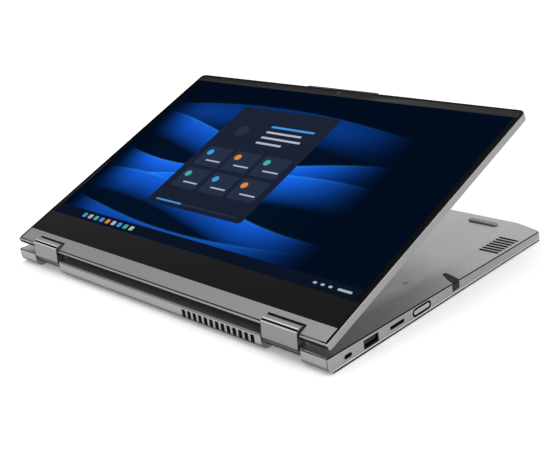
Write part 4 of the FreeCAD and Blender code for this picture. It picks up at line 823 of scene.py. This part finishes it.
class LAPTOP_OT_lid_shell(bpy.types.Operator):
    """Finish the lid's metal tray, the hinge rail and the dark window in the top tab"""
    bl_idname = "laptop.lid_shell"
    bl_label = "Lid shell"

    def execute(self, context):
        shell = context.scene.laptop_shell
        # Black for the tab, and painted shade in the hinge notches and on the strip near the hinge.
        black = joint_and_shade_black("tab_black_and_painted_shade", 0.12)
        tray = [satin_metal("lid_satin", shell.lid_color), black, satin_metal("back_painted_shade", shell.back_shade_color)]
        rail = [satin_metal("rail_satin", shell.rail_color, 0.38), black]
        up, out = LID.to_3x3() @ Vector((0, 1, 0)), LID.to_3x3() @ Vector((0, 0, 1))
        splits = ((LID @ Vector((0, STRIP_HEIGHT, 0)), up), (LID @ Vector((0, TAB_FOOT, 0)), up),
                  (LID @ Vector((0, 0, STRIP_START)), out))
        softened("lid_cover", "lid_tray", tray, "lid", shell.edge_round, pick=self.tone,
                 splits=splits)
        softened("hinge_rail", "lid_rail", rail, "lid", shell.edge_round * 0.8, pick=self.tone)
        dress(["camera_shutter"], moulded("shutter_black", (0.02, 0.02, 0.021)))
        return {"FINISHED"}

    def tone(self, face):
        """One on the notch walls and strip (painted shade), tab and tray's inside, two on the back, else
        none.
        """
        flat = LID.inverted()
        x, y, z = flat @ face.calc_center_median()
        normal = flat.to_3x3() @ face.normal
        # The notch walls and the strip near the hinge take black as painted shade.
        in_notch = LID_NOTCH[0] < abs(x) < LID_NOTCH[1] and y < LID_NOTCH_HEIGHT
        notch = in_notch and abs(normal.z) < SIDEWAYS
        tab = abs(x) < TAB_HALF and y > TAB_FOOT
        inside = normal.z > SIDEWAYS and z < TRAY_INSIDE
        strip = y < STRIP_HEIGHT and z < STRIP_START and abs(x) < STRIP_HALF and normal.z < HALFWAY
        if notch or tab or inside or strip:
            return 1
        # The darker back is painted shade.
        return 2 if normal.z < -FACING else 0


class LAPTOP_OT_hinges(bpy.types.Operator):
    """Finish the two hinge caps and the shafts inside them"""
    bl_idname = "laptop.hinges"
    bl_label = "Hinges"

    def execute(self, context):
        shell = context.scene.laptop_shell
        # Black for the groove, painted shade along the bend and under the front, and painted highlights
        # beside the bend.
        finishes = [satin_metal("cap_satin", shell.cap_color, 0.3), joint_and_shade_black("groove_joint_and_painted_shade"),
                    satin_metal("cap_painted_shade", shaded(shell.cap_color, 0.3), 0.4),
                    satin_metal("cap_painted_highlight", shaded(shell.cap_color, 2.4))]
        steel = brushed("turned_steel", (0.48, 0.48, 0.49))
        for side in ("left", "right"):
            softened(f"hinge_cap_{side}", f"cap_{side}", finishes, "hinge_links",
                     shell.edge_round * 0.7, 0.4 * MM, pick=self.tone, keep=self.rim)
            parts = ("base_bracket", "base_shaft", "lid_bracket", "lid_shaft")
            dress([f"hinge_{part}_{side}" for part in parts], steel)
        return {"FINISHED"}

    def rim(self, edge):
        """True on the edges round a cap's two ends."""
        return abs(direction(edge).x) < ACROSS

    def tone(self, face):
        """One on the groove and the painted shade line along the bend, two on the painted shade under the
        front, three on the painted highlights beside that line.
        """
        length = max(edge.calc_length() for edge in face.edges)
        steep = face.normal.z
        long = length > CAP_LONG
        bend = long and face.normal.y < 0
        if long and face.calc_area() / length < CAP_GROOVE or bend and CAP_SHADE_LINE[0] < steep < CAP_SHADE_LINE[1]:
            return 1
        if bend and CAP_HIGHLIGHT_LINES[0] < steep < CAP_HIGHLIGHT_LINES[1]:
            return 3
        return 2 if steep < CAP_SHADE_UNDER else 0


class LAPTOP_OT_screen(bpy.types.Operator):
    """Finish the glass and its seal, and light the picture behind it"""
    bl_idname = "laptop.screen"
    bl_label = "Screen"

    def execute(self, context):
        screen = context.scene.laptop_screen
        glass = dark_glass("glass_black", (0.0072, 0.0067, 0.0072))
        softened("display_glass", "screen_glass", [glass], "lid", 0.12 * MM)
        softened("display_gasket", "screen_seal", [joint_and_shade_black("seal_black")], "lid", 0.1 * MM)
        mesh = bmesh.new()
        size = (screen.picture_width, screen.picture_height)
        add_card(mesh, (0, screen.picture_middle), size, 0.4 * MM, 2 * LAYER)
        mesh.transform(LID)
        piece("screen_picture", mesh, [night_waves("night_waves")], "lid")
        self.window(screen)
        self.lens()
        return {"FINISHED"}

    def window(self, screen):
        """A plain window with a round mark, bars and blank tiles, and a row of blank tabs along the foot."""
        colors = {SLATE: screen.panel_color, TILE: (0.020, 0.030, 0.060), BLUE: (0.05, 0.32, 0.75),
                  PALE: (0.42, 0.48, 0.58), AMBER: (0.75, 0.26, 0.05), TEAL: (0.06, 0.42, 0.36),
                  DUSK: (0.004, 0.008, 0.020)}
        finishes = [lit(f"window_tone_{index}", color) for index, color in colors.items()]
        mesh = bmesh.new()
        middle = screen.picture_middle
        foot = middle - screen.picture_height / 2 + FOOT_MIDDLE
        strip = (screen.picture_width - FOOT_MARGIN, FOOT_HEIGHT)
        add_card(mesh, (0, foot), strip, 0.3 * MM, 4 * LAYER, DUSK)
        add_card(mesh, (WINDOW_MIDDLE[0], middle + WINDOW_MIDDLE[1]), WINDOW_SIZE, 3 * MM, 5 * LAYER, SLATE)
        left, top = WINDOW_LEFT, middle + WINDOW_TOP
        add_disc(mesh, (left + ROUND_PLACE[0], top + ROUND_PLACE[1]), ROUND_RADIUS, 7 * LAYER, TILE)
        for row, length in enumerate(BAR_LENGTHS):
            place = (left + BAR_PLACE[0] + length / 2, top + BAR_PLACE[1] - row * BAR_STEP)
            add_card(mesh, place, (length, BAR_HEIGHT), 0.9 * MM, 7 * LAYER, PALE if row else BLUE)
        for column in range(3):
            for row in range(2):
                x = left + TILE_PLACE[0] + column * TILE_STEP[0]
                y = top + TILE_PLACE[1] - row * TILE_STEP[1]
                add_card(mesh, (x, y), TILE_SIZE, 2 * MM, 7 * LAYER, TILE)
                dot = (x + DOT_PLACE[0], y + DOT_PLACE[1])
                add_disc(mesh, dot, DOT_RADIUS, 9 * LAYER, TILE_DOTS[row][column])
                add_card(mesh, (x + LINE_PLACE[0], y + LINE_PLACE[1]), LINE_SIZE, 0.6 * MM, 9 * LAYER, PALE)
        for place, length, layer, tone in SLIDER_PARTS:
            spot = (left + place, top - SLIDER_DROP)
            add_card(mesh, spot, (length, SLIDER_HEIGHT), 0.7 * MM, layer * LAYER, tone)
        for index, tone in enumerate(TAB_TONES):
            x = TAB_START + index * TAB_STEP
            add_card(mesh, (x, foot), (TAB_SIZE, TAB_SIZE), 1 * MM, 6 * LAYER, tone)
        for x, length in MARKS:
            add_card(mesh, (x, foot), (length, MARK_HEIGHT), 0.6 * MM, 6 * LAYER, PALE)
        mesh.transform(LID)
        piece("screen_window", mesh, finishes, "lid")

    def lens(self):
        """The camera's lens, a dark bead in the upper border."""
        mesh = bmesh.new()
        for index, radius in enumerate(LENS_RADII):
            add_disc(mesh, (0, LENS_HEIGHT), radius, (4 + 2 * index) * LAYER, index)
        mesh.transform(LID)
        ring = dark_glass("lens_ring", (0.016, 0.016, 0.018))
        bead = dark_glass("lens_bead", (0.004, 0.008, 0.03))
        piece("camera_lens", mesh, [ring, bead], "lid")


class LAPTOP_OT_keyboard(bpy.types.Operator):
    """Shape the key caps and print their characters"""
    bl_idname = "laptop.keyboard"
    bl_label = "Keyboard"

    def execute(self, context):
        keys = context.scene.laptop_keys
        cap = moulded("key_matt", keys.key_color, 0.55)
        ink = moulded("key_print", keys.legend_color, 0.6)
        for row in KEY_ROWS:
            boxes = islands(row)
            mesh = bmesh.new()
            uprights = []
            for low, high in boxes:
                uprights += edges_along(add_block(mesh, low, high), 2)
            bevel_edges(mesh, uprights, keys.corner, 3)
            floor = boxes[0][0].z
            rim = [edge for edge in mesh.edges if all(abs(vert.co.z - floor) < HAIR for vert in edge.verts)]
            bevel_edges(mesh, rim, KEY_RIM)
            smooth(piece(f"caps_{row}", mesh, [cap], row, [row]))
            if row in LEGENDS:
                self.legends(row, boxes, floor, keys.legend_size, ink)
        dress(["keyboard_tray"], brushed("tray_steel", (0.34, 0.34, 0.35)))
        return {"FINISHED"}

    def legends(self, row, boxes, floor, size, ink):
        """Printed characters, read from below with the hinge away from the reader."""
        mesh = bmesh.new()
        turn = Matrix.Rotation(pi, 4, "X")
        for character, (low, high) in zip(LEGENDS[row], boxes):
            if character == " ":
                continue
            curve = bpy.data.curves.new("legend", "FONT")
            curve.body = character
            curve.size = size
            curve.align_x = "CENTER"
            curve.align_y = "CENTER"
            letter = bpy.data.objects.new("legend", curve)
            flat = bpy.data.meshes.new_from_object(letter)
            middle = (low + high) / 2
            flat.transform(Matrix.Translation((middle.x, middle.y, floor - PRINT_LIFT)) @ turn)
            mesh.from_mesh(flat)
            bpy.data.objects.remove(letter)
            bpy.data.curves.remove(curve)
            bpy.data.meshes.remove(flat)
        piece(f"print_{row}", mesh, [ink], row)


class LAPTOP_OT_touchpad(bpy.types.Operator):
    """Finish the touchpad and the bracket over it"""
    bl_idname = "laptop.touchpad"
    bl_label = "Touchpad"

    def execute(self, context):
        color = shaded(context.scene.laptop_shell.case_color, 0.82)[:3]
        sheet = mottled("pad_matt", color, variation=0.03, roughness=0.38, grain=6000)
        softened("touchpad", "touch_sheet", [sheet], "touchpad", 0.3 * MM)
        dress(["touchpad_bracket"], brushed("pad_steel", (0.42, 0.42, 0.43)))
        return {"FINISHED"}


class LAPTOP_OT_ports(bpy.types.Operator):
    """Finish the sockets, the power button and its lamp"""
    bl_idname = "laptop.ports"
    bl_label = "Ports"

    def execute(self, context):
        dress(["usb_c_ports", "hdmi_port"], brushed("socket_steel", (0.05, 0.05, 0.052)))
        dress(["usb_a_port", "lock_slot_plate", "card_reader", "audio_jack"], joint_and_shade_black("socket_black"))
        ribs = ribbed("button_ribbed", shaded(context.scene.laptop_shell.case_color, 1.25)[:3])
        softened("power_button", "power_key", [ribs], "power_button", 0.3 * MM, 0.1 * MM)
        dress(["status_led"], self.lamp())
        self.tongues()
        self.button_gap()
        return {"FINISHED"}

    def lamp(self):
        """The milky window of the small lamp."""
        finish, tree, shader = blank_material("lamp_white")
        milk = ramp(tree, object_noise(tree, scale=900), (0.40, 0.41, 0.42, 1), (0.50, 0.51, 0.52, 1))
        feed(tree, shader, {"Base Color": milk})
        return finish

    def button_gap(self):
        """The dark gap that outlines the power button."""
        low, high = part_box("power_button")
        mesh = bmesh.new()
        verts = add_block(mesh, (GAP_X[0], low.y - GAP_GROW, low.z - GAP_GROW),
                          (GAP_X[1], high.y + GAP_GROW, high.z + GAP_GROW))
        bevel_edges(mesh, edges_along(verts, 0), (high.z - low.z) / 2 + GAP_GROW - HAIR, GAP_STEPS)
        ends = [face for face in mesh.faces if abs(face.normal.x) > ALONG]
        bmesh.ops.inset_individual(mesh, faces=ends, thickness=GAP_WIDE)
        bmesh.ops.bridge_loops(mesh, edges=list({edge for face in ends for edge in face.edges}))
        bmesh.ops.delete(mesh, geom=ends, context="FACES_ONLY")
        bmesh.ops.recalc_face_normals(mesh, faces=mesh.faces)
        piece("button_gap", mesh, [joint_and_shade_black("gap_black")], "base")

    def tongues(self):
        """Black contact blocks with gilt contacts inside the two wide sockets."""
        black = moulded("tongue_grey", (0.022, 0.022, 0.023), 0.6, 0.2)
        gilt = brushed("contact_gilt", (0.75, 0.52, 0.22), 0.25)
        mesh = bmesh.new()
        for node, side, count in (("usb_a_port", 1, 4), ("hdmi_port", -1, 9)):
            low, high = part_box(node)
            middle = (low.y + high.y) / 2
            half = (high.y - low.y) / 2 - TONGUE_SIDE
            mouth = (high.x if side > 0 else low.x) - side * TONGUE_MOUTH
            start, end = sorted((mouth, mouth - side * TONGUE_LENGTH))
            add_block(mesh, (start, middle - half, TONGUE_HEIGHT[0]), (end, middle + half, TONGUE_HEIGHT[1]))
            step = 2 * half / (count + 1)
            wide = step * CONTACT_SHARE
            for index in range(count):
                y = middle - half + step * (index + 1)
                add_block(mesh, (start + CONTACT_END, y - wide, CONTACT_HEIGHT[0]),
                          (end - CONTACT_END, y + wide, CONTACT_HEIGHT[1]), 1)
        piece("socket_tongues", mesh, [black, gilt], "base")


class LAPTOP_OT_stylus(bpy.types.Operator):
    """Finish the stylus and the garage that holds it"""
    bl_idname = "laptop.stylus"
    bl_label = "Stylus"

    def execute(self, context):
        dark = moulded("stylus_satin", (0.024, 0.024, 0.025), 0.6, 0.12)
        softened("stylus_garage", "garage_mouth", [dark], "base", 0.08 * MM)
        softened("stylus_tail", "stylus_end", [dark], "stylus", 0.4 * MM, 1 * MM)
        dress(["stylus_body"], dark)
        dress(["stylus_button"], moulded("stylus_button_matt", (0.03, 0.03, 0.031)))
        dress(["stylus_nib"], moulded("nib_black", (0.015, 0.015, 0.015), 0.35))
        return {"FINISHED"}


class LAPTOP_OT_feet(bpy.types.Operator):
    """Round the rubber feet and finish the cover's screws"""
    bl_idname = "laptop.feet"
    bl_label = "Feet and screws"

    def execute(self, context):
        rubber = moulded("foot_rubber", (0.26, 0.26, 0.26), 0.7)
        for node, name in (("front_feet", "foot_pads"), ("rear_foot", "foot_strip")):
            softened(node, name, [rubber], "base", 0.7 * MM, 0.1 * MM)
        dress(["cover_screws"], self.screw())
        return {"FINISHED"}

    def screw(self):
        """Steel, but black for the screws in the strip of painted shade along the hinge."""
        finish, tree, shader = blank_material("screw_steel")
        edge = CASE_LOW.y + COVER_STRIP
        steel = ramp(tree, scratches(tree), grey(0.20), grey(0.27))
        # The black screws near the hinge belong to the painted shade there.
        beyond = eased(tree, along_y(tree), edge - 0.5 * MM, edge + 0.5 * MM)
        feed(tree, shader, {"Base Color": blended(tree, beyond, grey(0.012), steel), "Roughness": 0.4,
                            "Metallic": spread(tree, beyond, 0.1, 0.9), "Specular IOR Level": 0.2})
        return finish


class LAPTOP_OT_inside(bpy.types.Operator):
    """Finish the boards, cooling, battery, speakers and display module inside"""
    bl_idname = "laptop.inside"
    bl_label = "Inside"

    def execute(self, context):
        dress(["main_board", "side_board_left", "side_board_right", "storage_card", "wireless_card"],
              circuit("board_green", (0.012, 0.06, 0.035)))
        dress(["processor", "camera_module"], moulded("chip_black", (0.02, 0.02, 0.022), 0.3))
        dress(["heat_pipe"], brushed("copper", (0.62, 0.28, 0.15), 0.28))
        dress(["heat_sink_fins"], brushed("fin_bare", (0.62, 0.62, 0.63)))
        dress(["fan_housing", "fan_rotor", "speaker_left", "speaker_right"],
              moulded("inner_black", (0.02, 0.02, 0.021)))
        dress(["battery_pack"], moulded("battery_wrap", (0.028, 0.028, 0.03), 0.35))
        dress(["display_panel"], moulded("panel_grey", (0.09, 0.09, 0.095), 0.4))
        return {"FINISHED"}


class LAPTOP_OT_stage(bpy.types.Operator):
    """Set the pale floor, the soft light and the camera"""
    bl_idname = "laptop.stage"
    bl_label = "Stage"

    def execute(self, context):
        stage = context.scene.laptop_stage
        context.scene.view_settings.view_transform = "Standard"
        self.floor()
        self.world(stage.dome)
        self.lamps(stage.key_power)
        self.camera(stage)
        return {"FINISHED"}

    def floor(self):
        """A pale floor that glows a little towards its edges, so that it runs out to white, and less near the
        object, a painted shade round it.
        """
        mesh = bmesh.new()
        bmesh.ops.create_grid(mesh, x_segments=1, y_segments=1, size=FLOOR_HALF)
        ground = link_new("floor", mesh)
        finish, tree, shader = blank_material("floor_pale")
        tone = ramp(tree, object_noise(tree, scale=3), grey(0.80), grey(0.82))
        rays = add_node(tree, "LightPath", {})
        seen = calculate(tree, "MAXIMUM", rays["Is Camera Ray"], rays["Is Glossy Ray"])
        reach = add_node(tree, "VectorMath", {0: object_place(tree)}, operation="LENGTH")["Value"]
        # Less glow near the middle: a painted shade round the object.
        glow = spread(tree, eased(tree, reach, *GLOW_REACH), *GLOW_STRENGTH)
        feed(tree, shader, {"Base Color": tone, "Roughness": 0.9, "Specular IOR Level": 0.0,
                            "Emission Color": grey(1.0),
                            "Emission Strength": calculate(tree, "MULTIPLY", seen, glow)})
        ground.data.materials.append(finish)

    def world(self, strength):
        """Even white light, and plain white where the camera, metal or glass sees it."""
        world = bpy.data.worlds.new("white_room")
        bpy.context.scene.world = world
        world.use_nodes = True
        tree = world.node_tree
        rays = add_node(tree, "LightPath", {})
        mirrored = calculate(tree, "MAXIMUM", rays["Is Glossy Ray"], rays["Is Transmission Ray"])
        seen = calculate(tree, "MAXIMUM", rays["Is Camera Ray"], mirrored)
        light = {"Color": grey(1.0), "Strength": spread(tree, seen, strength, 1.0)}
        feed(tree, tree.nodes["Background"], light)

    def lamps(self, power):
        for name, place, aim, size, share in LAMPS:
            data = bpy.data.lights.new(name, "AREA")
            data.energy = power * share
            data.size = size
            lamp = bpy.data.objects.new(name, data)
            lamp.location = place
            lamp.rotation_euler = (Vector(place) - Vector(aim)).to_track_quat("Z", "Y").to_euler()
            bpy.context.scene.collection.objects.link(lamp)

    def camera(self, stage):
        data = bpy.data.cameras.new("photo_camera")
        data.sensor_width = 36
        data.sensor_fit = "HORIZONTAL"
        data.lens = stage.lens
        data.clip_start = 0.01
        seen = bpy.data.objects.new("photo_camera", data)
        level = cos(stage.elevation)
        towards = Vector((sin(stage.azimuth) * level, -cos(stage.azimuth) * level, sin(stage.elevation)))
        turn = towards.to_track_quat("Z", "Y").to_matrix().to_4x4() @ Matrix.Rotation(stage.roll, 4, "Z")
        seen.matrix_world = Matrix.Translation(stage.place) @ turn
        bpy.context.scene.collection.objects.link(seen)
        bpy.context.scene.camera = seen


OPERATORS = (
    LAPTOP_OT_case,
    LAPTOP_OT_lid_shell,
    LAPTOP_OT_hinges,
    LAPTOP_OT_screen,
    LAPTOP_OT_keyboard,
    LAPTOP_OT_touchpad,
    LAPTOP_OT_ports,
    LAPTOP_OT_stylus,
    LAPTOP_OT_feet,
    LAPTOP_OT_inside,
    LAPTOP_OT_stage,
)


class LAPTOP_PT_dresser(bpy.types.Panel):
    """Lists the laptop's pieces and their settings"""
    bl_idname = "LAPTOP_PT_dresser"
    bl_label = "Laptop"
    bl_space_type = "VIEW_3D"
    bl_region_type = "UI"
    bl_category = "Laptop"

    def draw(self, context):
        for operator in OPERATORS:
            self.layout.operator(operator.bl_idname)
        for name, settings in SETTINGS.items():
            box = self.layout.box()
            for entry in settings.__annotations__:
                box.prop(getattr(context.scene, name), entry)


def register():
    for name, settings in SETTINGS.items():
        bpy.utils.register_class(settings)
        setattr(bpy.types.Scene, name, bpy.props.PointerProperty(type=settings))
    for kind in (*OPERATORS, LAPTOP_PT_dresser):
        bpy.utils.register_class(kind)


def unregister():
    for kind in reversed((*OPERATORS, LAPTOP_PT_dresser)):
        bpy.utils.unregister_class(kind)
    for name, settings in SETTINGS.items():
        delattr(bpy.types.Scene, name)
        bpy.utils.unregister_class(settings)


def main():
    register()
    bpy.ops.laptop.case()
    bpy.ops.laptop.lid_shell()
    bpy.ops.laptop.hinges()
    bpy.ops.laptop.screen()
    bpy.ops.laptop.keyboard()
    bpy.ops.laptop.touchpad()
    bpy.ops.laptop.ports()
    bpy.ops.laptop.stylus()
    bpy.ops.laptop.feet()
    bpy.ops.laptop.inside()
    bpy.ops.laptop.stage()


if __name__ == "__main__":
    main()
